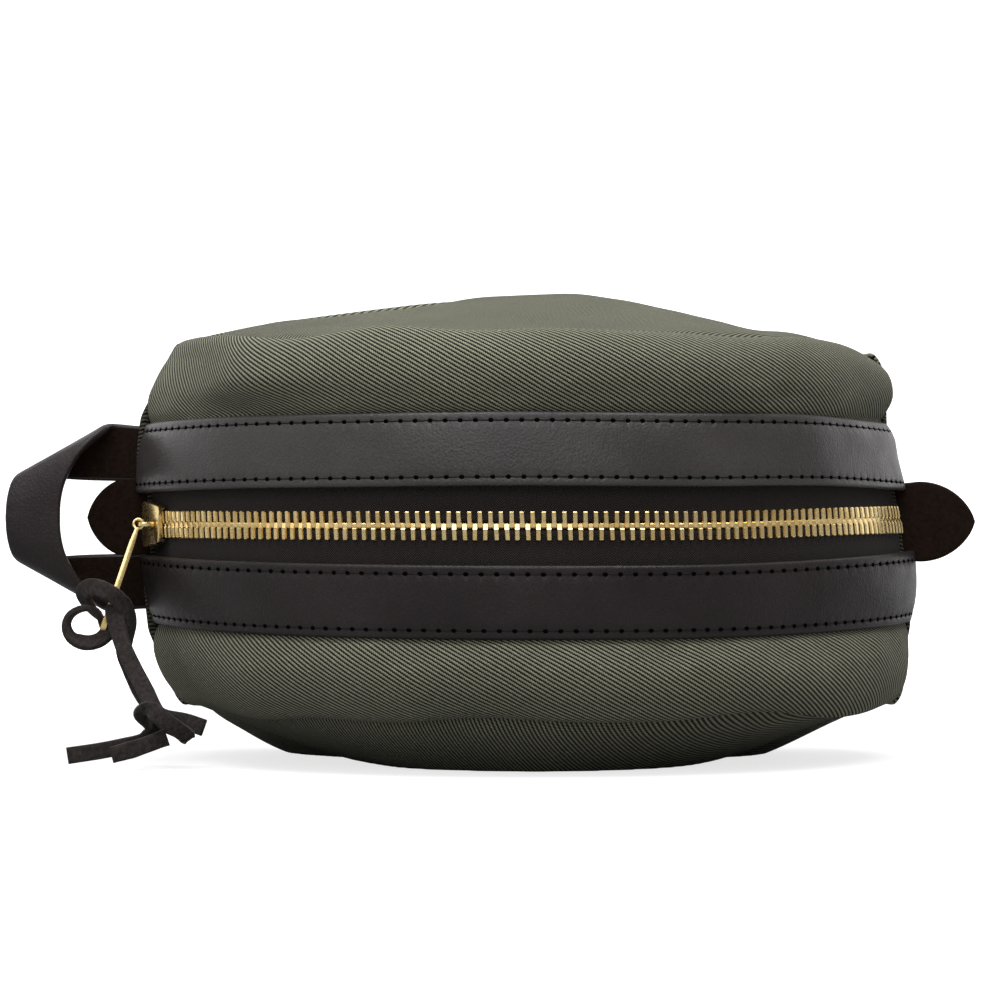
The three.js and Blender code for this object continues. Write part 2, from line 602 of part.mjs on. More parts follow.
const carriage = new THREE.Group();
carriage.position.set(0, TRACK_Y, MID_Z);
carriage.rotation.z = -SLIDER_TURN;
bag.add(carriage);
const slider = new THREE.Group();
slider.position.set(0, -SLIDER_R, 0);
carriage.add(slider);
part(slider, "slider_body", sliderBody(), brass);
part(slider, "slider_bail", bail(), brass);

const pull = new THREE.Group();
pull.position.set(0, -BAR_OUT, 0);
pull.rotation.x = -PULL_LEAN;
slider.add(pull);
part(pull, "pull_tab", pullTab(), brass);

const hitch = new THREE.TorusGeometry(HITCH_R, HITCH_ROD, 8, 20).rotateY(Math.PI / 2);
part(pull, "lace_hitch", hitch.translate(0, 0, -PULL_LENGTH - 0.2), suede);
bag.updateMatrixWorld(true);
const pullEnd = pull.localToWorld(new THREE.Vector3(0, 0, -PULL_LENGTH));
const laid = ([x, y, z]) => [pullEnd.x + x, pullEnd.y + y, (z * pullEnd.z) / LACE_TOP];
part(bag, "lace_strand", rod(LACE_STRAND.map(laid), STRAND_ROD), suede);
const knot = new THREE.SphereGeometry(1, 14, 9).scale(...LACE_KNOT.radii);
part(bag, "lace_knot", knot.translate(...laid(LACE_KNOT.at)), suede);
part(bag, "lace_tail_long", rod(LACE_TAIL_LONG.map(laid), LACE_ROD), suede);
part(bag, "lace_tail_short", rod(LACE_TAIL_SHORT.map(laid), LACE_ROD), suede);

export default bag;
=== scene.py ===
# The looks of a twill shaving kit bag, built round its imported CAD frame.
# Lengths inside the shape functions are millimetres; meshes are made in metres, in the CAD's frame.
import json
import math

import bmesh
import bpy
import numpy as np
from mathutils import Matrix, Vector


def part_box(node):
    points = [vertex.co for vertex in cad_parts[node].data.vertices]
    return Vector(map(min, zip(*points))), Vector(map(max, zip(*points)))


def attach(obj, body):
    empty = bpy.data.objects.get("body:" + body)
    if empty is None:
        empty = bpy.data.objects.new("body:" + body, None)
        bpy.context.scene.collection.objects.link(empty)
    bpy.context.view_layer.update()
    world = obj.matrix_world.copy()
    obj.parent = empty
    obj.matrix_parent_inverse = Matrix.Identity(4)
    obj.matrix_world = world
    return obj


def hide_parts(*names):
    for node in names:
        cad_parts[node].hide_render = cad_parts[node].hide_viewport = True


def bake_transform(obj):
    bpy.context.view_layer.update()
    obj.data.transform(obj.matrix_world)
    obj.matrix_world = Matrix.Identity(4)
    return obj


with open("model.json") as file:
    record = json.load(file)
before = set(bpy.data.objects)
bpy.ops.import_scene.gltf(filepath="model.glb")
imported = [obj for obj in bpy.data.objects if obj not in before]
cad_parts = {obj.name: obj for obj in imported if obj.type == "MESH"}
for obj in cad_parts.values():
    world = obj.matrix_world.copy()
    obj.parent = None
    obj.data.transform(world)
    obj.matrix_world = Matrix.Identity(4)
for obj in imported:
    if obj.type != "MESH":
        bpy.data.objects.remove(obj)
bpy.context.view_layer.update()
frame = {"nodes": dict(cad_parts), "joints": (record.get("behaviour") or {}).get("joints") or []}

joints = {joint["name"]: joint for joint in frame["joints"]}


def corners_mm(node):
    low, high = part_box(node)
    return np.array(low) * 1000, np.array(high) * 1000


# ---- Driving dimensions, from the frame where it has them ------
MID = joints["slider_travel"]["pos_m"][2] * 1000
TRACK_Y = joints["slider_travel"]["pos_m"][1] * 1000
SEAM_Y = joints["mouth_open"]["pos_m"][1] * 1000
APEX_Y = corners_mm("strip_upper")[0][1]
TRACK_R = TRACK_Y - APEX_Y
SHOULDER_R = 16.0  # where the zip side's long arc turns into the bag's end
END_TURN = math.acos((TRACK_Y - SEAM_Y) / (TRACK_R - SHOULDER_R))
CORNER_R = 38.0  # of the two corners at the bag's bottom
WALL = 2.9  # the twill lies this far inside the outline
BOTTOM_Y = corners_mm("bottom_gusset")[1][1] + WALL
SEAM_IN = WALL + 8.1  # the long seams lie this far inside it
PANEL_IN = SEAM_IN - 1.6  # and the large panels' rims this far
SEAM_OFF = 61.5  # the long seams' distance from the zip line, at the zip side
LYING_FLARE = 17.4  # how much further out the lower long seam stands at the bag's bottom
FRONT_FULLNESS = 2.3
BACK_RISE = 26.0
BACK_FULLNESS = 2.8
CROWN_Y = -12.0  # where the large panels are highest
LEAN = 0.04  # towards the handle, for each mm of height
TOOTH_FROM = 4.75  # the teeth's feet and the strips' two edges, from the zip line
STRIP_FROM = 12.7
STRIP_TO = 36.7
STRIP_CLOSING = 2.2  # how much closer the strips come at the ends
TAPE_IN = 5.2  # the tape's face and the teeth's middle lie this far inside the outline
ZIP_IN = 5.7
PITCH = 3.5
CROSS_HALF = 1.9  # half the width of the cross seam at each end
SLIDER_TURN = 66.8  # degrees round the track to the slider of the shut zip

SHOULDER_X = (TRACK_R - SHOULDER_R) * math.sin(END_TURN)
HALF_LENGTH = SHOULDER_X + SHOULDER_R
CORNER_X = HALF_LENGTH - CORNER_R
CORNER_Y = BOTTOM_Y - CORNER_R
ARC_END = TRACK_R * END_TURN
SEAM_AT = ARC_END + SHOULDER_R * (math.pi / 2 - END_TURN)
CORNER_AT = SEAM_AT + CORNER_Y - SEAM_Y
STRAIGHT_AT = CORNER_AT + CORNER_R * math.pi / 2
HALF_GIRTH = STRAIGHT_AT + CORNER_X
SLIDER_AT = TRACK_R * math.radians(SLIDER_TURN)


# ---- The bag's outline and wall --------------------------------
def outline(s, inset):
    """The point `inset` inside the outline, at distance s from the middle of the zip side."""
    side = np.where(s < 0, -1.0, 1.0)
    d = np.abs(s)
    big = np.minimum(d, ARC_END) / TRACK_R
    small = END_TURN + np.clip(d - ARC_END, 0, SEAM_AT - ARC_END) / SHOULDER_R
    corner = math.pi / 2 + np.clip(d - CORNER_AT, 0, STRAIGHT_AT - CORNER_AT) / CORNER_R
    x = np.select(
        [d <= ARC_END, d <= SEAM_AT, d <= CORNER_AT, d <= STRAIGHT_AT],
        [(TRACK_R - inset) * np.sin(big), SHOULDER_X + (SHOULDER_R - inset) * np.sin(small),
         HALF_LENGTH - inset, CORNER_X + (CORNER_R - inset) * np.sin(corner)],
        CORNER_X - (d - STRAIGHT_AT))
    y = np.select(
        [d <= ARC_END, d <= SEAM_AT, d <= CORNER_AT, d <= STRAIGHT_AT],
        [TRACK_Y - (TRACK_R - inset) * np.cos(big), SEAM_Y - (SHOULDER_R - inset) * np.cos(small),
         SEAM_Y + d - SEAM_AT, CORNER_Y - (CORNER_R - inset) * np.cos(corner)],
        BOTTOM_Y - inset)
    return side * x, y


def smoothstep(x, low, high):
    t = np.clip((x - low) / (high - low), 0, 1)
    return t * t * (3 - 2 * t)


def smooth_line(points, count):
    """A Catmull-Rom line through 2-D or 3-D points, resampled evenly by its length."""
    points = np.array(points, dtype=float)
    padded = np.vstack([2 * points[0] - points[1], points, 2 * points[-1] - points[-2]])
    samples = []
    for i in range(len(points) - 1):
        a, b, c, d = padded[i:i + 4]
        for t in np.linspace(0, 1, 24, endpoint=False):
            samples.append(0.5 * (2 * b + (c - a) * t + (2 * a - 5 * b + 4 * c - d) * t**2
                                  + (3 * b - a - 3 * c + d) * t**3))
    samples.append(points[-1])
    samples = np.array(samples)
    length = np.concatenate([[0], np.cumsum(np.linalg.norm(np.diff(samples, axis=0), axis=1))])
    even = np.linspace(0, length[-1], count)
    return np.stack([np.interp(even, length, samples[:, k]) for k in range(samples.shape[1])], axis=-1)


def profile(stations):
    """A smooth line through (where, value) stations, for np.interp."""
    return tuple(smooth_line(stations, 200).T)


# How much shorter the filled bag is at each end, at heights above the zip line.
SHORTER_RIGHT = profile([(-55, 1.4), (-45, 0.6), (-33, -1.0), (-22, -1.7), (0, 0), (20, 2.8),
                         (29, 3.0), (36, 5.2), (43, 4.2), (56, 4.6)])
SHORTER_LEFT = profile([(-56, 6.8), (-46, 4.2), (-38, 2.4), (-22, 1.2), (0, 0), (22, 0.4),
                        (35, 2.2), (42, 4.0), (49, 7.2), (56, 10.0)])
# How much further out the front seam stands at the bag's bottom, and the front panel's crown, along X.
TOP_FLARE = profile([(-135, -1), (-122, 1.2), (-110, 3.4), (-80, 7.7), (-45, 12.2), (0, 17.2), (30, 17.4),
                     (64, 9.8), (80, 5.2), (95, 4.0), (110, 1.2), (122, -1), (135, -2)])
FRONT_CROWN = profile([(-135, 0.2), (-60, 0.6), (0, 2.0), (35, 2.4), (70, 0.8), (100, 0.2), (135, 0.1)])


def settled(points):
    """The bag's points where its filling and its own weight leave them."""
    x, off = points[..., 0], points[..., 2] - MID
    shorter = np.where(x > 0, np.interp(off, *SHORTER_RIGHT), np.interp(off, *SHORTER_LEFT))
    moved = points.copy()
    moved[..., 0] = x - LEAN * off - np.sign(x) * shorter * smoothstep(np.abs(x), 85, 128)
    moved[..., 2] += 1.6 * smoothstep(x, 50, 130) * np.clip(1 - np.abs(off) / 60, 0, 1)
    return moved


def wall_point(s, inset, off):
    """A point on the wall, off above (+) or below (-) the zip line."""
    x, y = outline(s, inset)
    return settled(np.stack([x + 0 * off, y + 0 * off, MID + off + 0 * x], axis=-1))


def flare(x, up):
    """How much further out the seams stand at the bag's bottom; the corners stay low."""
    if up > 0:
        return np.interp(x, *TOP_FLARE)
    return LYING_FLARE * (1 - np.clip(np.abs(x) / 129, 0, 1) ** np.where(x > 0, 2.8, 4.0))


def end_fall(x):
    """How much the front seam falls towards the right end."""
    return 3.4 * smoothstep(x, 88, 124)


def seam_half(x, y, up):
    """A long seam's distance from the zip line."""
    t = np.clip((y - SEAM_Y) / (BOTTOM_Y - SEAM_Y), 0, 1)
    half = SEAM_OFF + flare(x, up) * np.sin(t * math.pi / 2)
    if up > 0:
        half = half - end_fall(x) * (1 - smoothstep(y, SEAM_Y + 4, SEAM_Y + 44))
    return half


def closing(off, s):
    """Near the ends the strips and what lies under them come closer to the zip line."""
    rise = (off - TOOTH_FROM) / (STRIP_FROM - TOOTH_FROM)
    share = np.minimum(np.minimum(rise, 1), (SEAM_OFF - off) / (SEAM_OFF - STRIP_TO))
    return off - STRIP_CLOSING * share * (s / SEAM_AT) ** 2


def waves(x, y, seed, size):
    """A smooth seeded ripple of two coordinates, about -1 to 1; size is the ripple's length."""
    local = np.random.default_rng(seed)
    total = np.zeros(np.broadcast(x, y).shape)
    for _ in range(6):
        angle = local.uniform(0, 2 * math.pi)
        length = size * local.uniform(0.6, 1.7)
        phase = local.uniform(0, 2 * math.pi)
        total = total + np.sin(2 * math.pi * (x * math.cos(angle) + y * math.sin(angle)) / length + phase)
    return total / 3.5


# ---- Meshes ----------------------------------------------------
def placed(name, data):
    item = bpy.data.objects.new(name, data)
    bpy.context.scene.collection.objects.link(item)
    return item


def make_mesh(name, points, faces, material, uvs=None, smooth=True):
    """One object from points in millimetres; uvs are per point, in millimetres of cloth."""
    mesh = bpy.data.meshes.new(name)
    mesh.from_pydata([tuple(p) for p in np.asarray(points) / 1000], [], [tuple(f) for f in faces])
    mesh.polygons.foreach_set("use_smooth", [smooth] * len(mesh.polygons))
    if uvs is not None:
        layer = mesh.uv_layers.new(name="cloth")
        corner = np.zeros(len(mesh.loops), dtype=np.int32)
        mesh.loops.foreach_get("vertex_index", corner)
        layer.data.foreach_set("uv", (np.asarray(uvs)[corner] / 1000).astype(np.float32).ravel())
    mesh.materials.append(material)
    mesh.validate()
    return placed(name, mesh)


def grid_faces(rows, columns, around, flip, start=0):
    """Quads over a rows x columns grid of points; around joins the last row to the first."""
    faces = []
    for i in range(rows if around else rows - 1):
        k = (i + 1) % rows
        for j in range(columns - 1):
            face = (i * columns + j, k * columns + j, k * columns + j + 1, i * columns + j + 1)
            faces.append([start + v for v in (face[::-1] if flip else face)])
    return faces


def normals_of(grid, around):
    if around:
        du = np.roll(grid, -1, axis=0) - np.roll(grid, 1, axis=0)
    else:
        du = np.gradient(grid, axis=0)
    n = np.cross(du, np.gradient(grid, axis=1))
    size = np.linalg.norm(n, axis=-1, keepdims=True)
    return n / np.where(size < 1e-9, 1, size)


def shell(name, grid, uv, thick, material, out, around=False):
    """A cloth shell: grid is its outer face, and out (+1 or -1) is which way the grid's normal is outward."""
    rows, columns = grid.shape[:2]
    inner = grid - normals_of(grid, around) * out * thick
    points = np.concatenate([grid.reshape(-1, 3), inner.reshape(-1, 3)])
    count = rows * columns
    faces = grid_faces(rows, columns, around, out < 0)
    faces += grid_faces(rows, columns, around, out > 0, count)
    rims = []
    for i in range(rows if around else rows - 1):
        for j, turn in ((0, out), (columns - 1, -out)):
            rims.append((i * columns + j, (i + 1) % rows * columns + j, turn))
    for j in range(0 if around else columns - 1):
        for i, turn in ((0, -out), (rows - 1, out)):
            rims.append((i * columns + j, i * columns + j + 1, turn))
    faces += [(a, a + count, b + count, b)[::turn] for a, b, turn in rims]
    flat = uv.reshape(-1, 2)
    return make_mesh(name, points, faces, material, np.concatenate([flat, flat]))


def swept(name, sections, material, uvs=None):
    """A solid from closed rings of points: sections is (rings, points in a ring, 3)."""
    rings, count = sections.shape[:2]
    faces = []
    for i in range(rings - 1):
        for j in range(count):
            k = (j + 1) % count
            faces.append((i * count + j, i * count + k, (i + 1) * count + k, (i + 1) * count + j))
    faces.append(tuple(range(count))[::-1])
    faces.append(tuple(range((rings - 1) * count, rings * count)))
    item = make_mesh(name, sections.reshape(-1, 3), faces, material,
                     None if uvs is None else uvs.reshape(-1, 2))
    outward(item)
    return item


def outward(item):
    """Turns a closed mesh's faces out."""
    work = bmesh.new()
    work.from_mesh(item.data)
    bmesh.ops.recalc_face_normals(work, faces=work.faces)
    work.to_mesh(item.data)
    work.free()


def band_section(width, thick, round_by, along_points, edge_points):
    """A flat strap's section, centred on 0, with rounded edges: (across, through) pairs."""
    half, deep = width / 2, thick / 2
    r = min(round_by, deep)
    ring = []
    for cx, cy, first in ((half - r, deep - r, 0), (-half + r, deep - r, 90), (-half + r, -deep + r, 180),
                          (half - r, -deep + r, 270)):
        for t in np.linspace(0, 90, edge_points):
            a = math.radians(first + t)
            ring.append((cx + r * math.cos(a), cy + r * math.sin(a)))
        if first in (0, 180):
            sign = 1 if first == 0 else -1
            for t in np.linspace(1, -1, along_points)[1:-1]:
                ring.append((sign * t * (half - r), sign * deep))
    return np.array(ring)


# ---- Materials -------------------------------------------------
def new_material(name, roughness, metallic=0.0, sheen=0.0, coat=0.0, specular=0.5):
    material = bpy.data.materials.new(name)
    material.use_nodes = True
    nodes = material.node_tree.nodes
    shader = nodes["Principled BSDF"]
    shader.inputs["Roughness"].default_value = roughness
    shader.inputs["Metallic"].default_value = metallic
    shader.inputs["Sheen Weight"].default_value = sheen
    shader.inputs["Sheen Roughness"].default_value = 0.45
    shader.inputs["Coat Weight"].default_value = coat
    shader.inputs["Specular IOR Level"].default_value = specular
    return material, material.node_tree, shader


def node(tree, kind, **values):
    """A new shader node, with its sockets or settings given by name."""
    made = tree.nodes.new(kind)
    for key, value in values.items():
        if key in made.inputs:
            made.inputs[key].default_value = value
        else:
            setattr(made, key, value)
    return made


def math_node(tree, operation, a, b=None):
    made = tree.nodes.new("ShaderNodeMath")
    made.operation = operation
    for i, value in enumerate((a, b)):
        if value is None:
            continue
        if isinstance(value, (int, float)):
            made.inputs[i].default_value = value
        else:
            tree.links.new(value, made.inputs[i])
    return made.outputs[0]


def scaled(tree, value, by):
    return math_node(tree, "MULTIPLY", value, by)


def ramp(tree, factor, stops):
    made = tree.nodes.new("ShaderNodeValToRGB")
    tree.links.new(factor, made.inputs[0])
    elements = made.color_ramp.elements
    while len(elements) < len(stops):
        elements.new(0.5)
    for element, (at, colour) in zip(elements, stops):
        element.position = at
        element.color = (*colour, 1)
    return made.outputs[0]


def multiplied(tree, share, colour, by):
    made = tree.nodes.new("ShaderNodeMix")
    made.data_type = "RGBA"
    made.blend_type = "MULTIPLY"
    made.inputs[0].default_value = share
    tree.links.new(colour, made.inputs[6])
    tree.links.new(by, made.inputs[7])
    return made.outputs[2]


def dress(tree, shader, colour, height, strength, distance):
    """Links a shader's colour, and its relief through a bump node."""
    tree.links.new(colour, shader.inputs["Base Color"])
    made = node(tree, "ShaderNodeBump", Strength=strength, Distance=distance)
    tree.links.new(height, made.inputs["Height"])
    tree.links.new(made.outputs[0], shader.inputs["Normal"])


def wear(tree, shader, factor, *stops):
    """Roughness that follows a noise between two values."""
    rough = ramp(tree, factor, [(at, (value,) * 3) for at, value in stops])
    tree.links.new(rough, shader.inputs["Roughness"])


def cloth_place(tree):
    """The place on the flat cloth, in metres, along it and across it."""
    uv = node(tree, "ShaderNodeUVMap", uv_map="cloth")
    split = tree.nodes.new("ShaderNodeSeparateXYZ")
    tree.links.new(uv.outputs[0], split.inputs[0])
    return split.outputs[0], split.outputs[1]


def weave_axes(tree, degrees):
    """Distance across and along the ribs of a weave, in metres of cloth."""
    u, v = cloth_place(tree)
    c, s = math.cos(math.radians(degrees)), math.sin(math.radians(degrees))
    across = math_node(tree, "SUBTRACT", scaled(tree, v, c), scaled(tree, u, s))
    along = math_node(tree, "ADD", scaled(tree, u, c), scaled(tree, v, s))
    return across, along


def sine(tree, distance, pitch, shift=None):
    """A wave from 0 to 1 that repeats every pitch."""
    turns = scaled(tree, distance, 2 * math.pi / pitch)
    if shift is not None:
        turns = math_node(tree, "ADD", turns, shift)
    wave = math_node(tree, "SINE", turns)
    return math_node(tree, "ADD", scaled(tree, wave, 0.5), 0.5)


def on_object(tree, texture):
    place = tree.nodes.new("ShaderNodeTexCoord")
    tree.links.new(place.outputs["Object"], texture.inputs["Vector"])
    return texture


def object_noise(tree, scale, detail, roughness=0.55):
    made = node(tree, "ShaderNodeTexNoise", Scale=scale, Detail=detail, Roughness=roughness)
    return on_object(tree, made).outputs[0]


def twill_material(name, degrees, groove, rib, pitch=0.00121):
    material, tree, shader = new_material(name, 0.95, sheen=0.04, specular=0.12)
    across, along = weave_axes(tree, degrees)
    drift = scaled(tree, object_noise(tree, 60, 2), 1.6)
    ribs = sine(tree, across, pitch, drift)
    floats = sine(tree, math_node(tree, "ADD", along, scaled(tree, across, 0.9)), 0.0009)
    fuzz = object_noise(tree, 1500, 3)
    height = math_node(tree, "ADD", scaled(tree, ribs, 0.72), scaled(tree, floats, 0.30))
    height = math_node(tree, "ADD", height, scaled(tree, fuzz, 0.34))
    # The tint paints shade into the grooves (the groove colour) and a highlight on the rib crests (1.75 times
    # the rib colour).
    tint = ramp(tree, height, [(0.47, groove), (0.68, rib), (1.0, tuple(c * 1.75 for c in rib))])
    cloud = ramp(tree, object_noise(tree, 14, 4), [(0.3, (0.84, 0.85, 0.84)), (0.7, (1.10, 1.09, 1.07))])
    specks = ramp(tree, object_noise(tree, 900, 1), [(0.60, (1, 1, 1)), (0.70, (1.5, 1.45, 1.4))])
    colour = multiplied(tree, 0.6, multiplied(tree, 1.0, tint, cloud), specks)
    dress(tree, shader, colour, height, 0.85, 0.00045)
    return material


def leather_material(name, base, bright, specular):
    roughness = 0.42
    material, tree, shader = new_material(name, roughness, coat=0.04, specular=specular)
    shader.inputs["Coat Roughness"].default_value = 0.35
    cells = on_object(tree, node(tree, "ShaderNodeTexVoronoi", Scale=1100.0))
    pores = object_noise(tree, 2600, 3)
    height = math_node(tree, "ADD", scaled(tree, cells.outputs["Distance"], 0.7), scaled(tree, pores, 0.5))
    height = math_node(tree, "ADD", height, scaled(tree, object_noise(tree, 140, 4), 0.9))
    colour = ramp(tree, object_noise(tree, 22, 5, 0.6), [(0.3, base), (0.72, bright)])
    mottle = ramp(tree, pores, [(0.35, (0.5, 0.5, 0.5)), (0.65, (1.4, 1.4, 1.4))])
    wear(tree, shader, object_noise(tree, 60, 4), (0.3, roughness - 0.07), (0.7, roughness + 0.1))
    dress(tree, shader, multiplied(tree, 0.8, colour, mottle), height, 0.6, 0.00022)
    return material


def suede_material(name, base, bright):
    material, tree, shader = new_material(name, 0.95, sheen=0.10, specular=0.06)
    nap = object_noise(tree, 700, 6, 0.7)
    fine = object_noise(tree, 3500, 3)
    colour = ramp(tree, nap, [(0.3, base), (0.7, bright)])
    dress(tree, shader, colour, math_node(tree, "ADD", nap, scaled(tree, fine, 0.5)), 0.6, 0.0004)
    return material


def herringbone_material(name):
    material, tree, shader = new_material(name, 0.9, sheen=0.04, specular=0.2)
    u, v = cloth_place(tree)
    fold = math_node(tree, "PINGPONG", u, 0.0026)
    lines = sine(tree, math_node(tree, "ADD", v, fold), 0.00085)
    height = math_node(tree, "ADD", lines, scaled(tree, sine(tree, u, 0.0005), 0.3))
    colour = ramp(tree, height, [(0.3, (0.003, 0.0022, 0.0022)), (1.1 / 1.3, (0.034, 0.026, 0.025))])
    dress(tree, shader, colour, height, 0.6, 0.0003)
    return material


def brass_material(name):
    roughness = 0.24
    material, tree, shader = new_material(name, roughness, metallic=1.0)
    tarnish = object_noise(tree, 110, 3, 0.5)
    colour = ramp(tree, tarnish, [(0.2, (0.70, 0.48, 0.17)), (0.42, (0.90, 0.67, 0.30)),
                                  (0.8, (0.97, 0.80, 0.45))])
    scratches = object_noise(tree, 1300, 4)
    wear(tree, shader, scratches, (0.3, roughness - 0.04), (0.75, roughness + 0.10))
    dress(tree, shader, colour, scratches, 0.08, 0.0001)
    return material


def plain_material(name, colour, roughness, specular):
    material, tree, shader = new_material(name, roughness, specular=specular)
    grain = object_noise(tree, 900, 3)
    tint = ramp(tree, grain, [(0.3, tuple(c * 0.7 for c in colour)), (0.7, colour)])
    dress(tree, shader, tint, grain, 0.3, 0.0002)
    return material


# GROOVE_SHADE is the painted shade in the weave's grooves; the panel's copy paints a groove shade twice as
# light, with ribs 0.82 as bright.
GROOVE_SHADE = (0.005, 0.0055, 0.0035)
RIB = (0.126, 0.127, 0.094)
TWILL_WALL = twill_material("twill_wall", -29, GROOVE_SHADE, RIB)
TWILL_PANEL = twill_material("twill_panel", 58, tuple(c * 2 for c in GROOVE_SHADE), tuple(c * 0.82 for c in RIB))
# A darker copy of the wall's twill (grooves 0.4, ribs 0.3 as bright), painted shade for the cloth in the
# cross seams.
TWILL_SHADED = twill_material("twill_in_shade", -29, tuple(c * 0.4 for c in GROOVE_SHADE), tuple(c * 0.3 for c in RIB))
LINING = twill_material("lining_cloth", 0, (0.10, 0.09, 0.065), (0.21, 0.19, 0.145), 0.0007)
LEATHER = leather_material("bridle_leather", (0.024, 0.0190, 0.0196), (0.042, 0.0350, 0.0360), 0.5)
# The second leather is the same leather painted darker, as shade, for the lower strip and the handle.
LEATHER_SHADED = leather_material("bridle_leather_shaded", (0.011, 0.0074, 0.0082), (0.023, 0.0168, 0.0180), 0.22)
SUEDE = suede_material("flesh_side", (0.005, 0.0025, 0.0014), (0.016, 0.0084, 0.0052))
LACE = suede_material("rawhide_lace", (0.014, 0.011, 0.010), (0.045, 0.038, 0.036))
THREAD = plain_material("waxed_thread", (0.014, 0.012, 0.012), 0.7, 0.1)
TAPE = herringbone_material("zip_tape")
BRASS = brass_material("brass")
# Black, for the discs that paint the shade inside the needle holes.
HOLE_SHADE = plain_material("needle_hole_shade", (0.002, 0.002, 0.002), 0.9, 0.0)


# ---- Camera ----------------------------------------------------
CAMERA_DISTANCE = 1200.0  # in front of the zip side
CAMERA_X = -8.3
CAMERA_UP = 8.3  # above the zip line


def add_camera():
    data = bpy.data.cameras.new("camera")
    data.lens = 135
    data.sensor_width = 36
    data.clip_end = 20
    camera = placed("camera", data)
    camera.location = Vector((CAMERA_X, APEX_Y - CAMERA_DISTANCE, MID + CAMERA_UP)) / 1000
    camera.rotation_euler = (math.radians(90), 0, 0)
    bpy.context.scene.camera = camera


add_camera()


# ---- Lace ------------------------------------------------------
LACE_WIDTH = 5.6
LACE_THICK = 2.0


def ribbon(name, points, rolls, count):
    """A flat lace along points; rolls are degrees from lying in the view's plane (0) to edge-on (90)."""
    stations = [(*p, r) for p, r in zip(points, rolls)]
    line = smooth_line(stations, count)
    centre, roll = line[:, :3], np.radians(line[:, 3])
    run = np.gradient(centre, axis=0)
    run /= np.linalg.norm(run, axis=1, keepdims=True)
    deep = np.array([0.0, 1.0, 0.0])
    flat = np.cross(run, deep)
    flat /= np.linalg.norm(flat, axis=1, keepdims=True)
    other = np.cross(flat, run)
    across = flat * np.cos(roll)[:, None] + other * np.sin(roll)[:, None]
    through = np.cross(run, across)
    ring = band_section(LACE_WIDTH, LACE_THICK, 0.45, 5, 3)
    rough = 1 + 0.05 * waves(np.arange(count)[:, None] * 1.0, np.arange(len(ring))[None, :] * 3.0, 5, 18)
    sections = centre[:, None, :] + across[:, None, :] * (ring[None, :, 0] * rough)[:, :, None] \
        + through[:, None, :] * (ring[None, :, 1] * rough)[:, :, None]
    return swept(name, sections, LACE), centre


# Points of each ply: out of the pull's hole, round its loop, down and into the knot.
PLY_A = [(-143.9, -12.2, 46.5), (-145.6, -14.4, 51.2), (-150, -15, 52.4), (-154.4, -15.2, 50.3),
         (-155.9, -15.4, 46.4), (-153.9, -15.8, 42.4), (-149, -16.4, 40.8), (-144.2, -16, 42),
         (-140.6, -14.8, 46.2), (-139.6, -14.2, 51), (-139.8, -16.4, 53.6), (-139.4, -19, 50.6),
         (-137.8, -20.8, 45.4), (-135.6, -23, 39.4), (-132, -26.4, 32.6), (-128, -31, 26),
         (-124.4, -35.8, 19.6), (-120.5, -40, 15), (-115.5, -41, 12.5), (-112.5, -46, 11),
         (-117, -50.3, 14.8), (-123.5, -49.5, 19.5), (-127.6, -44, 18), (-124.5, -38.5, 13),
         (-127, -39.5, 9), (-134, -41, 7.2), (-142, -41.5, 5.6), (-152.5, -41, 4)]
ROLL_A = [90, 90, 84, 80, 76, 62, 40, 34, 20, 12, 10, 8, 6, 4, 4, 4, 4, 8, 30, 20, 4, 2, 60, 40, 12, 4, 0, 0]
PLY_B = [(-144.4, -10.4, 48.6), (-148.2, -11.4, 52.6), (-150.2, -13.4, 57), (-148.6, -17.2, 59.6),
         (-145.4, -18.9, 59.8), (-141.6, -21.2, 58.4), (-137.9, -20.2, 55.8), (-135.2, -17.8, 51.8),
         (-134.2, -16, 46.8), (-135.2, -16.6, 42), (-136, -18.6, 38.2), (-134, -21.8, 33.4),
         (-130, -26.8, 25.4), (-126, -32, 20.5), (-121.5, -36.5, 16.8), (-113.5, -38.2, 15.2),
         (-107.2, -40, 13.2)]
ROLL_B = [80, 60, 30, 8, 0, 0, 8, 36, 62, 60, 30, 8, 6, 6, 6, 8, 4]
TAIL = [(-119, -46.5, 10.5), (-125.5, -48.5, 8.2), (-131, -49.6, 6.4), (-137, -50, 4.8)]
ROLL_TAIL = [6, 4, 2, 0]


def build_lace():
    ply_a, line_a = ribbon("lace_ply_long", PLY_A, ROLL_A, 190)
    ply_b, line_b = ribbon("lace_ply_stub", PLY_B, ROLL_B, 120)
    tail, _ = ribbon("lace_tail", TAIL, ROLL_TAIL, 40)
    for item in (ply_a, ply_b, tail):
        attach(item, "lace")
    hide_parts("lace_strand", "lace_knot", "lace_tail_long")
    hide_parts("lace_hitch")
    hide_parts("lace_tail_short")


build_lace()


# ---- Twill -----------------------------------------------------
CLOTH = 1.2  # thickness


def carried(item, body):
    """What opens with the mouth has its placement baked into its mesh; the rest is attached to its body."""
    if body == "mouth":
        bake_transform(item)
    else:
        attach(item, body)


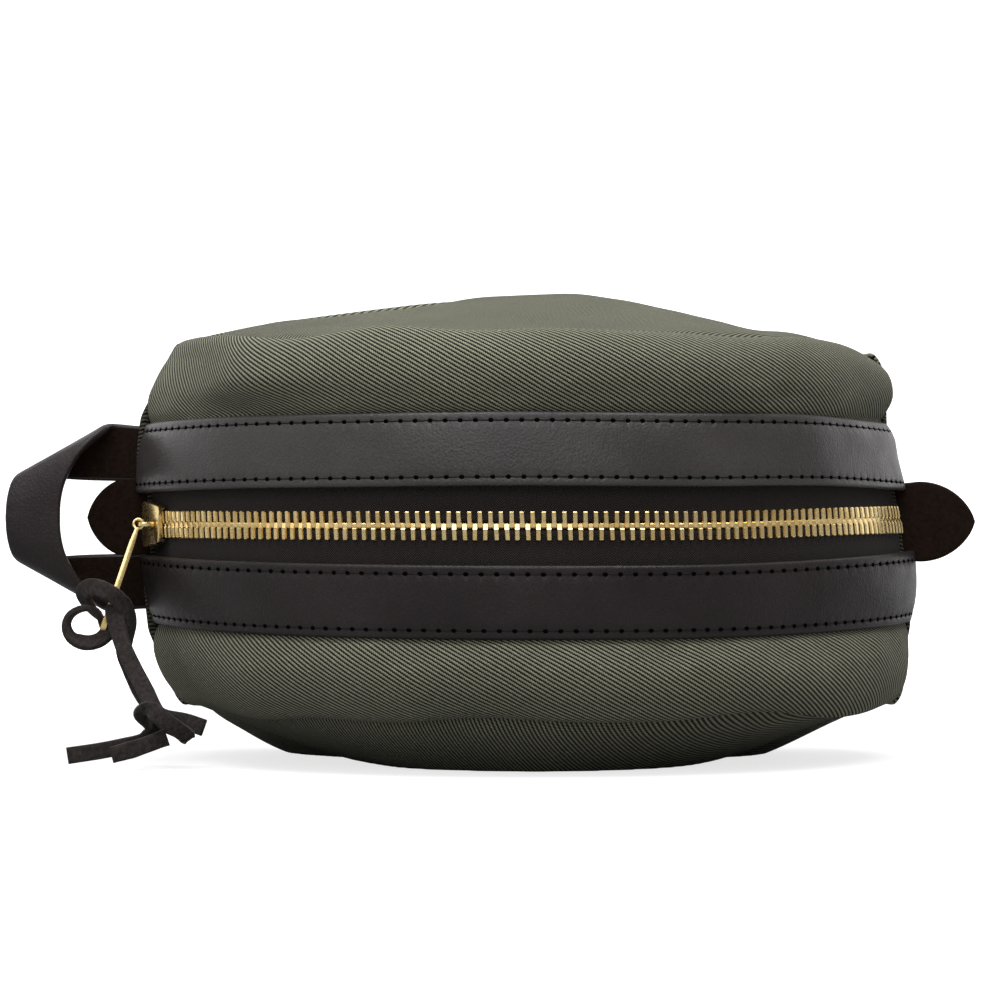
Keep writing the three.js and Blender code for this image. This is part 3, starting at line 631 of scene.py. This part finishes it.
def wall_line(s, up):
    """The zip wall's section for each s, from under the strip over the swollen lobe to the long seam."""
    ends = np.clip((np.abs(s) - 95) / 80, 0, 1) ** 1.5
    line = smooth_line([(STRIP_FROM + 1, WALL), (STRIP_TO - 12, WALL + 0.9), (STRIP_TO - 1, WALL + 2.3),
                        (STRIP_TO + 3.6, WALL + 0.2), (STRIP_TO + 10.5, WALL - 1.6),
                        (SEAM_OFF - 7, WALL - 0.6), (SEAM_OFF - 1.5, WALL + 3.2),
                        (SEAM_OFF + 0.5, WALL + 7.4), (SEAM_OFF - 0.5, WALL + 10)], 44)
    off = np.broadcast_to(line[:, 0], (len(s), len(line))).copy()
    inset = np.broadcast_to(line[:, 1], (len(s), len(line))).copy()
    lobe = np.clip((off - STRIP_TO) / (SEAM_OFF - STRIP_TO), 0, 1)
    belly = np.sin(lobe * math.pi)
    along = s[:, None]
    inset += belly * ends[:, None] * 0.8
    inset -= belly * 0.9 * waves(along, off * 0.6, 11 if up > 0 else 12, 70)
    beside_strip = (lobe > 0) * np.sin(np.clip(lobe * 2.2, 0, 1) * math.pi)
    inset -= beside_strip * 0.5 * waves(along, off, 21 + (up > 0), 26)
    if up > 0:  # the dimple above the strip's left end, and the fold over it
        inset += 2.4 * np.exp(-((along + 104) / 24) ** 2 - ((off - STRIP_TO - 3.4) / 3.4) ** 2)
        inset -= 1.5 * np.exp(-((along + 100) / 30) ** 2 - ((off - STRIP_TO - 11) / 5) ** 2)
    fall = end_fall(outline(along, 0.0)[0]) if up > 0 else 0
    long_ripple = 1.9 * waves(along, 0 * off, 31 if up > 0 else 35, 120)
    crest = -fall + long_ripple + 0.7 * waves(along, off * 0.2, 41, 42)
    return off + lobe**2 * crest, inset


def build_zip_wall(name, up, replaced):
    s = np.linspace(-SEAM_AT + CROSS_HALF * 0.4, SEAM_AT - CROSS_HALF * 0.4, 420)
    off, inset = wall_line(s, up)
    place = closing(off, s[:, None])
    grid = wall_point(s[:, None] + 0 * off, inset, up * place)
    steps = np.hypot(np.diff(off), np.diff(inset))
    run = np.concatenate([np.zeros((len(s), 1)), np.cumsum(steps, axis=1)], axis=1)
    uv = np.stack([s[:, None] + 0 * off, up * (STRIP_FROM + run)], axis=-1)
    item = shell(name, grid, uv, CLOTH, TWILL_WALL, -up)
    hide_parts(replaced)
    return item


def panel_lift(up, x, y, out, s):
    """A large panel's outer face from the zip line, with its seam's valley and the cloth's slack."""
    if up > 0:
        rise = np.interp(x, *FRONT_CROWN)
        even = SEAM_OFF + flare(x, up) * smoothstep(y, APEX_Y, BOTTOM_Y)
        base = even + (seam_half(x, y, up) - even) * out**8
        fullness = FRONT_FULLNESS
    else:
        rise = BACK_RISE * (1 - (x / HALF_LENGTH) ** 2)
        base = seam_half(x, y, up)
        fullness = BACK_FULLNESS
    height = base + 1.2 + (rise + 1.2) * (1 - out**fullness)
    height = height - 2.4 * np.exp(-((1 - out) / 0.05) ** 2)
    if up > 0:
        height = height + 0.9 * waves(x, y, 51, 110) * (1 - out**4)
        height = height + 0.5 * waves(x, y, 52, 42) * np.sin(out * math.pi)
    else:
        height = height + 0.7 * waves(x, y, 53, 60) * np.sin(out * math.pi)
        height = np.minimum(height, MID)
    return height + 0.35 * np.exp(-((1 - out) / 0.12) ** 2) * np.sin(s / 5.0 + 2 * waves(s, 0 * s, 61, 60))


def build_panel(name, up, replaced):
    s = np.linspace(-HALF_GIRTH, HALF_GIRTH, 360, endpoint=False)[:, None]
    out = np.sin(np.linspace(0.0, 1, 64) * math.pi / 2)[None, :] * (1 - 1e-6) + 1e-6
    edge_x, edge_y = outline(s, PANEL_IN)
    x = edge_x * out
    y = CROWN_Y + (edge_y - CROWN_Y) * out
    lift = panel_lift(up, x, y, out, s)
    grid = settled(np.stack([x, y, MID + up * lift], axis=-1))
    item = shell(name, grid, np.stack([x, y], axis=-1), CLOTH, TWILL_PANEL, -up, True)
    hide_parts(*replaced)
    return item


def build_bottom_wall():
    """The wall from one cross seam round the bag's bottom to the other, pressed flat where it rests."""
    first = SEAM_AT - CROSS_HALF * 0.2
    s = np.linspace(first, 2 * HALF_GIRTH - first, 420)
    wrapped = np.where(s > HALF_GIRTH, s - 2 * HALF_GIRTH, s)
    share_line = smooth_line([(1.0, 8.6), (1.015, 6.2), (1.012, 3.4), (0.95, 0.9), (0.84, -0.4),
                              (0.6, -0.2), (0.0, 0.0)], 36)
    share = np.concatenate([-share_line[:, 0], share_line[:-1, 0][::-1]])
    drop = np.concatenate([share_line[:, 1], share_line[:-1, 1][::-1]])
    inset = WALL + drop[None, :] + 0 * s[:, None]
    inset = inset + 0.5 * waves(s[:, None], share[None, :] * 70, 71, 60) * (np.abs(share) > 0.3)
    x, y = outline(wrapped[:, None], inset)
    half = np.where(share > 0, seam_half(x, y, 1), seam_half(x, y, -1))
    at_top = np.clip((share[None, :] - 0.9) / 0.1, 0, 1)
    proud = 2.6 * smoothstep(-x, -20, 40) * at_top * smoothstep(y, 10, 50)
    off = np.maximum(share[None, :] * half + proud, 0.3 - MID)
    grid = wall_point(wrapped[:, None] + 0 * off, inset, off)
    uv = np.stack([s[:, None] + 0 * off, off], axis=-1)
    item = shell("twill_bottom_wall", grid, uv, CLOTH, TWILL_WALL, 1)
    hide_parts("bottom_gusset")
    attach(item, "bag")


def build_cross_seams():
    """The folded cloth in the cross seam at each end, which rounds over between the two walls."""
    for side, tag in ((-1, "left"), (1, "right")):
        off = np.linspace(-SEAM_OFF + 7, SEAM_OFF - 7, 90)
        lobe = np.clip((np.abs(off) - STRIP_TO) / (SEAM_OFF - STRIP_TO), 0, 1)
        beside_strip = smoothstep(np.abs(off), STRIP_FROM - 2, STRIP_FROM + 3)
        proud = (3.6 if side < 0 else 1.4) * beside_strip * (1 - lobe) ** 1.5
        face = HALF_LENGTH - WALL - 0.7 + proud - 12 * lobe**3
        ring = band_section(4.4, 3.6, 1.6, 3, 5)
        x = side * (face[:, None] - 1.8 + ring[None, :, 1])
        y = SEAM_Y + ring[None, :, 0] + 0 * x
        sections = settled(np.stack([x, y, MID + off[:, None] + 0 * x], axis=-1))
        uvs = np.stack([ring[None, :, 0] + 0 * x, off[:, None] + 0 * x], axis=-1)
        # The seam's cloth takes the darker twill, its colour painted shade.
        item = swept("cross_seam_" + tag, sections, TWILL_SHADED, uvs)
        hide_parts("end_seam_" + tag)
        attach(item, "bag")


carried(build_zip_wall("twill_wall_upper", 1, "gusset_upper"), "mouth")
carried(build_zip_wall("twill_wall_lower", -1, "gusset_lower"), "bag")
carried(build_panel("twill_front_panel", 1, ("front_panel", "front_panel_heel")), "mouth")
carried(build_panel("twill_back_panel", -1, ("back_panel",)), "bag")
build_bottom_wall()
build_cross_seams()


# ---- Leather edge strips, with their needle holes and thread ---
STITCH = 5.0
STITCH_IN = 2.9  # from the strip's edge to its row of stitches
STRIP_THICK = 2.6
STRIP_ROUND = 1.0
STRIP_RUN = SEAM_AT - CROSS_HALF * 0.6


def strip_inset(off):
    """How far the strip's face falls in towards its far edge."""
    return 2.2 * ((off - STRIP_FROM) / (STRIP_TO - STRIP_FROM)) ** 2


def strip_edge_wander(s, up):
    return 0.45 * waves(s, 0 * s, 81 if up > 0 else 83, 150)


def strip_swell(s, off, up):
    return 0.25 * waves(s, off, 91 + (up > 0), 60)


def strip_grid(up, holes):
    """Where the strip has points: along the zip side, and across the strip from its near edge."""
    beside = (holes[:, None] + np.array([-0.75, -0.38, 0, 0.38, 0.75, 2.5])).ravel()
    columns = np.unique(np.concatenate([[-STRIP_RUN], beside, [STRIP_RUN]]))
    rows = [STITCH_IN + d for d in (-0.8, -0.4, 0, 0.4, 0.8)]
    width = STRIP_TO - STRIP_FROM
    across = [0.0, 0.25, 0.7, 1.3] + rows + [width * k for k in (0.25, 0.38, 0.5, 0.62, 0.75)]
    across += [width - r for r in rows[::-1]] + [width - 1.3, width - 0.7, width - 0.25, width]
    return columns[np.abs(columns) <= STRIP_RUN, None], np.array(across)


def build_strip(up, replaced):
    """An edge strip with its two rows of needle holes, black discs that paint the shade in them, and the
    thread that runs from hole to hole.
    """
    count = int(2 * STRIP_RUN / STITCH)
    holes = (np.arange(count) - (count - 1) / 2) * STITCH
    along, across = strip_grid(up, holes)
    edge = np.minimum(across, STRIP_TO - STRIP_FROM - across)
    r = STRIP_ROUND
    fall = np.where(edge < r, r - np.sqrt(np.maximum(r**2 - (r - edge) ** 2, 0)), 0)
    groove = 0.10 * np.exp(-((edge - STITCH_IN) / 0.7) ** 2)[None, :]
    near = np.min(np.abs(along - holes[None, :]), axis=1)[:, None]
    hole = 0.6 * np.exp(-(near**2 + ((edge - STITCH_IN)[None, :]) ** 2) / 0.5**2)
    off = STRIP_FROM + across[None, :] + strip_edge_wander(along, up)
    swell = strip_swell(along, off, up)
    outer_in = strip_inset(off) + fall[None, :] + groove + hole - 0.1 + swell
    face = wall_point(along + 0 * off, outer_in, up * closing(off, along))
    under_in = strip_inset(off) + STRIP_THICK - 0.35 * fall[None, :] + swell * 0.5
    under = wall_point(along + 0 * off, under_in, up * closing(off, along))
    ring = np.concatenate([face, under[:, ::-1]], axis=1)
    # The lower strip takes the darker leather, its colour painted shade.
    item = swept("leather_" + replaced, ring, LEATHER if up > 0 else LEATHER_SHADED)
    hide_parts(replaced)
    threads = []
    hole_shade_discs = []
    for row in (STRIP_FROM + STITCH_IN, STRIP_TO - STITCH_IN):
        threads += [thread_between(a + 0.35, b - 0.35, row, up) for a, b in zip(holes[:-1], holes[1:])]
        hole_shade_discs += [needle_hole_shade(at, row, up) for at in holes]
    thread = tubes("thread_" + replaced, threads, 0.22, THREAD)
    hole_faces = [tuple(range(8 * i, 8 * i + 8)) for i in range(len(hole_shade_discs))]
    # Black discs over the holes' mouths paint the shade inside the holes.
    dark = make_mesh("holes_" + replaced, np.concatenate(hole_shade_discs), hole_faces, HOLE_SHADE, smooth=False)
    return item, thread, dark


def needle_hole_shade(at, off, up):
    """A black oval disc at the mouth of one hole: painted shade inside the hole."""
    turn = np.arange(8) * math.pi / 4 * up
    s = at + 0.92 * np.cos(turn)
    place = off + 0.66 * np.sin(turn) + strip_edge_wander(at, up)
    inset = strip_inset(off) - 0.12 + strip_swell(s, place, up)
    return wall_point(s, inset, up * closing(place, s))


def thread_between(a, b, off, up):
    s = np.linspace(a, b, 7)
    t = np.linspace(0, 1, 7)
    place = off + strip_edge_wander(s, up)
    inset = strip_inset(off) + 0.62 - 0.72 * np.sin(t * math.pi) ** 0.35 + strip_swell(s, place, up)
    return wall_point(s, inset, up * closing(place, s))


def tubes(name, lines, radius, material):
    """Many short threads in one mesh."""
    sides = 6
    points, faces = [], []
    angles = np.arange(sides) * 2 * math.pi / sides
    for line in lines:
        run = np.gradient(line, axis=0)
        run /= np.linalg.norm(run, axis=1, keepdims=True)
        helper = np.array([0, 0, 1.0]) if abs(run[0][2]) < 0.9 else np.array([1.0, 0, 0])
        a = np.cross(run, helper)
        a /= np.linalg.norm(a, axis=1, keepdims=True)
        b = np.cross(run, a)
        start = len(points)
        for i, place in enumerate(line):
            points += [place + radius * (math.cos(turn) * a[i] + math.sin(turn) * b[i]) for turn in angles]
        for i in range(len(line) - 1):
            for j in range(sides):
                k = (j + 1) % sides
                p, q = start + i * sides, start + (i + 1) * sides
                faces.append((p + j, q + j, q + k, p + k))
        faces.append(tuple(start + j for j in range(sides)))
        faces.append(tuple(start + (len(line) - 1) * sides + j for j in range(sides))[::-1])
    item = make_mesh(name, points, faces, material)
    outward(item)
    return item


for direction, strip_node, carrier in ((1, "strip_upper", "mouth"), (-1, "strip_lower", "bag")):
    for piece in build_strip(direction, strip_node):
        carried(piece, carrier)


# ---- Zip -------------------------------------------------------
ROW_START = -SLIDER_AT - 2
ROW_STOP = SEAM_AT - 1.0
# A tooth from its foot to its head: the distance from the zip line, half its width and half its depth.
TOOTH_SECTIONS = [(TOOTH_FROM, 0.60, 1.5), (4.6, 0.82, 1.95), (4.3, 0.92, 2.1), (1.15, 0.92, 2.1),
                  (0.85, 1.0, 1.9), (0.1, 1.0, 1.75), (-0.5, 0.92, 1.6), (-0.85, 0.66, 1.3)]
CORD_AT = 2.4
CORD_R = 1.35


def zip_bulge(s):
    """How far the zip pushes out between the strips at its closed end."""
    return 0.6 * smoothstep(s, 120, SEAM_AT - 4)


def build_tape(up, replaced):
    """One zip tape, with the cord along its edge that the teeth clamp on."""
    s = np.linspace(-SEAM_AT + 1.5, SEAM_AT + 0.5, 380)
    face = [(21, 0.9), (15, 0.35), (10, 0), (6.2, 0.05), (4.2, -0.1)]
    back = [(4.2, 1.1), (6.2, 0.95), (10, 1), (15, 1.3), (21, 1.9)]
    ring = [(off, TAPE_IN + deep) for off, deep in face]
    for a in np.radians([-60, -105, -150, 180, 150, 105, 60]):
        ring.append((CORD_AT + CORD_R * math.cos(a), ZIP_IN + CORD_R * math.sin(a)))
    ring += [(off, TAPE_IN + deep) for off, deep in back]
    ring = np.array(ring)
    off = ring[None, :, 0] + 0 * s[:, None]
    sag = 0.35 * waves(s[:, None], off, 101 + (up > 0), 50) * np.clip((off - 5) / 8, 0, 1)
    place = np.where(off > 5, closing(off, s[:, None]), off)
    sag = sag - zip_bulge(s[:, None]) * np.clip((17 - off) / 6, 0, 1)
    sections = wall_point(s[:, None] + 0 * off, ring[None, :, 1] + sag, up * place)
    uvs = np.stack([s[:, None] + 0 * off, up * off], axis=-1)
    item = swept("cloth_" + replaced, sections, TAPE, uvs)
    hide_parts(replaced)
    return item


def build_teeth(up, replaced):
    """One row of cast teeth, each clamped on the tape's cord, heads meshing past the zip line."""
    points, faces = [], []
    first = ROW_START + (0 if up > 0 else PITCH / 2)
    places = np.arange(first, ROW_STOP - 1.6, PITCH) + 0.78
    corner = [(-1, -0.72), (-0.72, -1), (0.72, -1), (1, -0.72), (1, 0.72), (0.72, 1), (-0.72, 1), (-1, 0.72)]
    uneven = np.random.default_rng(17 if up > 0 else 19)
    for s0 in places:
        start = len(points)
        tilt = uneven.normal(0, 0.02)
        lift = uneven.normal(0, 0.03) - zip_bulge(s0)
        for off, half, deep in TOOTH_SECTIONS:
            for a, b in corner:
                s = s0 + a * half + tilt * off
                points.append(wall_point(np.array(s), np.array(ZIP_IN + b * deep + lift), np.array(up * off)))
        for i in range(len(TOOTH_SECTIONS) - 1):
            for j in range(8):
                k = (j + 1) % 8
                p, q = start + 8 * i, start + 8 * (i + 1)
                faces.append((p + j, p + k, q + k, q + j))
        faces.append(tuple(start + j for j in range(8)))
        last = start + 8 * (len(TOOTH_SECTIONS) - 1)
        faces.append(tuple(last + j for j in range(8)))
    item = make_mesh("brass_" + replaced, points, faces, BRASS, smooth=False)
    outward(item)
    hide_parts(replaced)
    return item


for direction, tag, carrier in ((1, "upper", "mouth"), (-1, "lower", "bag")):
    for piece in (build_tape(direction, "zip_tape_" + tag), build_teeth(direction, "zip_teeth_" + tag)):
        carried(piece, carrier)


def softened(name, source, body, width, segments=3):
    """The CAD node's own solid in brass, with its edges rounded."""
    copy = frame["nodes"][source].data.copy()
    copy.name = name
    item = placed(name, copy)
    item.data.materials.clear()
    item.data.materials.append(BRASS)
    bpy.context.view_layer.objects.active = item
    work = bmesh.new()
    work.from_mesh(item.data)
    bmesh.ops.remove_doubles(work, verts=work.verts, dist=1e-6)
    bmesh.ops.dissolve_limit(work, angle_limit=math.radians(3), verts=work.verts, edges=work.edges)
    work.to_mesh(item.data)
    work.free()
    bevel = item.modifiers.new("rounding", "BEVEL")
    bevel.width = width / 1000
    bevel.segments = segments
    bevel.limit_method = "ANGLE"
    bevel.angle_limit = math.radians(35)
    bpy.ops.object.select_all(action="DESELECT")
    item.select_set(True)
    bpy.ops.object.modifier_apply(modifier=bevel.name)
    item.data.polygons.foreach_set("use_smooth", [True] * len(item.data.polygons))
    item.data.set_sharp_from_angle(angle=math.radians(50))
    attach(item, body)
    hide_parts(source)
    return item


softened("brass_slider", "slider_body", "slider", 0.35)
bail_piece = softened("brass_bail", "slider_bail", "slider", 0.35)
pull_piece = softened("brass_pull", "pull_tab", "pull", 0.4)


def yawed(item, joint, carried_by, degrees):
    """Turns a hanging piece on its own long axis, as far as the play in its eye lets it."""
    pivot = Vector(joints[joint]["pos_m"])
    middle = sum((Vector(corner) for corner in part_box(carried_by)), Vector()) / 2
    turn = Matrix.Rotation(math.radians(degrees), 4, (middle - pivot).normalized())
    item.data.transform(Matrix.Translation(pivot) @ turn @ Matrix.Translation(-pivot))


def slimmed(item, joint, reach, share):
    """Draws what is within reach of a hinge in towards its axis."""
    pivot = Vector(joints[joint]["pos_m"])
    axis = Vector(joints[joint]["axis"]).normalized()
    for vertex in item.data.vertices:
        arm = vertex.co - pivot
        radial = arm - axis * arm.dot(axis)
        if radial.length < reach / 1000:
            vertex.co = vertex.co - radial * (1 - share)


BAIL_SHARE = 0.55  # of the CAD's bail width
slimmed(pull_piece, "pull_swing", 3.5, 0.62)
for vertex in bail_piece.data.vertices:
    vertex.co.z = MID / 1000 + BAIL_SHARE * (vertex.co.z - MID / 1000)
yawed(pull_piece, "pull_swing", "pull_tab", 17)
for stop in ("top_stop_upper", "top_stop_lower", "bottom_stop"):
    softened("brass_" + stop, stop, "bag", 0.3, 2)


# ---- Handle and end tabs ---------------------------------------
# The strap's two edges from the seam to the loop's far end: x, y and height above the
# loop's middle. The strap folds over on a slant, so its outer edge at the seam is its inner one there.
LOOP_MIDDLE = MID + 2.25
EDGE_A = [(-130.5, 7.3, 31.6), (-134.5, 7.3, 31.8), (-138.5, 7.2, 32.2), (-141.5, 6.2, 32.3),
          (-143.2, 3.4, 31.7), (-144.4, -0.6, 30.2), (-148, -3.8, 26.6), (-153, -5.2, 20.8),
          (-157, -5.8, 13.4), (-158.8, -5.9, 6.6), (-159.2, -5.8, 0)]
EDGE_B = [(-130.5, 7.3, 12.3), (-141, 7.6, 12.6), (-152, 8.2, 12.9), (-163, 7.8, 13.7),
          (-170.5, 5, 14.6), (-174.6, 0.8, 13.6), (-176.4, -2, 11.2), (-177.4, -3.3, 7.6),
          (-177.9, -4, 4), (-178, -4.1, 1.9), (-178.1, -4.2, 0)]
STRAP_WIDTH = 19.5
STRAP_THICK = 2.8


def bends_from_seam(item):
    """Leather sewn into a cross seam: its root stays in the seam, and its placement is baked into its mesh.
    """
    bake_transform(item)


def build_handle():
    edges = []
    for half_edge in (EDGE_A, EDGE_B):
        low = [(x, y, -z) for x, y, z in half_edge[-2::-1]]
        edges.append([*half_edge, *low])
    both = smooth_line([(*a, *b) for a, b in zip(*edges)], 190)
    first, second = both[:, :3], both[:, 3:]
    ring = band_section(STRAP_WIDTH, STRAP_THICK, 1.1, 12, 5) / (STRAP_WIDTH, 1)
    mid = (first + second) / 2
    across = second - first
    run = np.gradient(mid, axis=0)
    face = np.cross(run, across)
    face /= np.linalg.norm(face, axis=1, keepdims=True)
    sections = mid[:, None, :] + across[:, None, :] * ring[None, :, 0, None]
    sections = sections + face[:, None, :] * ring[None, :, 1, None]
    sections[..., 2] += LOOP_MIDDLE
    # The handle takes the darker leather, its colour painted shade.
    item = swept("leather_handle", sections, LEATHER_SHADED)
    item.data.materials.append(SUEDE)
    count = len(ring)
    for polygon in item.data.polygons:
        j = [v % count for v in polygon.vertices]
        if len(j) == 4 and all(ring[k, 1] > STRAP_THICK / 2 - 0.05 for k in j):
            polygon.material_index = 1
    bends_from_seam(item)
    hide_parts("handle_strap")


def build_tab(side, tag, reach, middle):
    """A leaf-shaped end tab: widest a third of the way out, with a blunt point."""
    root = 5.4  # how deep it starts in the seam
    sections = []
    for share in 1 - (1 - np.linspace(0, 1, 34)) ** 1.4:
        wide = 13.9 * (1 - np.clip((share - 0.3) / 0.7, 0, 1) ** 2.1) ** 0.66
        half = max(wide - 0.9 * (1 - min(share / 0.3, 1)), 0.35)
        curl = 1.0 * share**2
        ring = band_section(2 * half, 2.9, min(1.1, 0.95 * half), 10, 5)
        px = side * (HALF_LENGTH - root + (reach + root) * share) + 0 * ring[:, 0]
        sections.append(np.stack([px, SEAM_Y + ring[:, 1] + curl, MID + middle + ring[:, 0]], axis=-1))
    item = swept("leather_tab_" + tag, np.array(sections), SUEDE)
    bends_from_seam(item)
    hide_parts("zip_tab_" + tag)


build_handle()
build_tab(-1, "left", 17.4, 2.25)
build_tab(1, "right", 22.4, 0.8)


# ---- Inside ----------------------------------------------------
def layer_inside(up, under, x, y, out, s):
    """Points that lie `under` a large panel's outer face."""
    return settled(np.stack([x, y, MID + up * (panel_lift(up, x, y, out, s) - under)], axis=-1))


def build_pocket(up, tag, half_width, y_from, y_to, body):
    """An open pocket of lining cloth, sewn flat inside a large panel, with a hemmed mouth."""
    x, y = np.meshgrid(np.linspace(-half_width, half_width, 60), np.linspace(y_from, y_to, 44), indexing="ij")
    ring_x, ring_y = outline(np.linspace(-HALF_GIRTH, HALF_GIRTH, 721), PANEL_IN)
    angles = np.arctan2(ring_x, ring_y - CROWN_Y)
    order = np.argsort(angles)
    rim = np.interp(np.arctan2(x, y - CROWN_Y), angles[order], np.hypot(ring_x, ring_y - CROWN_Y)[order])
    out = np.hypot(x, y - CROWN_Y) / rim
    edge = np.minimum(half_width - np.abs(x), np.minimum(y - y_from, y_to - y))
    hem = 0.8 * np.exp(-(edge / 3.0) ** 2)
    grid = layer_inside(up, CLOTH + 1.2 + hem, x, y, out, 0 * x)
    item = shell("lining_pocket_" + tag, grid, np.stack([x, y], axis=-1), 0.9, LINING, -up)
    carried(item, body)
    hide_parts("pocket_" + tag)


def build_binding(up, name, replaced, body, first, last, around):
    """Cloth tape folded over the raw edges of a long seam."""
    s = np.linspace(first, last, 300, endpoint=not around)[:, None]
    depth = np.linspace(2.0, 8.5, 9)[None, :]
    wrapped = np.where(s > HALF_GIRTH, s - 2 * HALF_GIRTH, s)
    x, y = outline(wrapped, SEAM_IN + depth)
    half = seam_half(*outline(wrapped, np.array(SEAM_IN)), up) - 2.6 + 0.3 * waves(s, depth, 111, 30)
    grid = settled(np.stack([x, y, MID + up * half + 0 * x], axis=-1))
    uv = np.stack([s + 0 * depth, depth + 0 * s], axis=-1)
    item = shell(name, grid, uv, 1.2, LINING, -up, around)
    carried(item, body)
    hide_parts(replaced)


def build_inside():
    heel = SEAM_AT + 0.6
    build_binding(-1, "lining_binding_back", "back_binding", "bag", -HALF_GIRTH, HALF_GIRTH, True)
    build_binding(1, "lining_binding_heel", "front_binding_heel", "bag", heel, 2 * HALF_GIRTH - heel, False)
    build_binding(1, "lining_binding_mouth", "front_binding", "mouth", 0.6 - SEAM_AT, SEAM_AT - 0.6, False)
    build_pocket(-1, "back", 78, -44, 36, "bag")
    build_pocket(1, "front", 72, -48, SEAM_Y - 4, "mouth")


build_inside()


# ---- Studio ----------------------------------------------------
def soft_light(name, place, target, size, power):
    data = bpy.data.lights.new(name, "AREA")
    data.shape = "RECTANGLE"
    data.size, data.size_y = size
    data.energy = power
    light = placed(name, data)
    light.location = place
    light.rotation_euler = (Vector(target) - Vector(place)).to_track_quat("-Z", "Y").to_euler()


def build_studio():
    """A white floor that curves up into a wall (in metres), three soft lights and an even sky."""
    floor_end, turn_r, wall_top = 1.8, 1.5, 6.0
    side = [(-6.0, 0.0), (0.5, 0.0), (floor_end, 0.0)]
    for a in np.linspace(0.05, math.pi / 2, 24):
        side.append((floor_end + turn_r * math.sin(a), turn_r - turn_r * math.cos(a)))
    side.append((floor_end + turn_r, wall_top))
    points = [(x * 1000, y * 1000, z * 1000 - 0.2) for y, z in side for x in (-8, 8)]
    faces = [(2 * i, 2 * i + 1, 2 * i + 3, 2 * i + 2) for i in range(len(side) - 1)]
    material, tree, shader = new_material("paper_sweep", 0.9, specular=0.1)
    shader.inputs["Base Color"].default_value = (0.3, 0.3, 0.3, 1)
    shader.inputs["Emission Color"].default_value = (1, 1, 1, 1)
    seen = tree.nodes.new("ShaderNodeLightPath").outputs["Is Camera Ray"]
    tree.links.new(math_node(tree, "MULTIPLY", seen, 0.74), shader.inputs["Emission Strength"])
    bright, _, glow = new_material("lit_wall", 0.9, specular=0.1)
    glow.inputs["Base Color"].default_value = (0.93, 0.93, 0.93, 1)
    glow.inputs["Emission Color"].default_value = (1, 1, 1, 1)
    glow.inputs["Emission Strength"].default_value = 0.8
    floor = make_mesh("paper_sweep", points, faces, material)
    floor.data.materials.append(bright)
    for polygon in floor.data.polygons[1:]:
        polygon.material_index = 1
    floor.data.set_sharp_from_angle(angle=math.radians(1))
    soft_light("overhead", (0, -0.35, 1.4), (0, 0, 0.05), (1.7, 1.1), 33)
    soft_light("front_fill", (-0.3, -2.0, 1.1), (0, 0, 0.08), (1.6, 1.0), 12)
    soft_light("left_edge", (-1.4, -0.5, 0.6), (0, 0, 0.08), (0.6, 1.0), 2)
    world = bpy.data.worlds.new("studio")
    bpy.context.scene.world = world
    world.use_nodes = True
    background = world.node_tree.nodes["Background"]
    background.inputs[0].default_value = (1, 1, 1, 1)
    background.inputs[1].default_value = 0.32
    bpy.context.scene.view_settings.view_transform = "Standard"


build_studio()
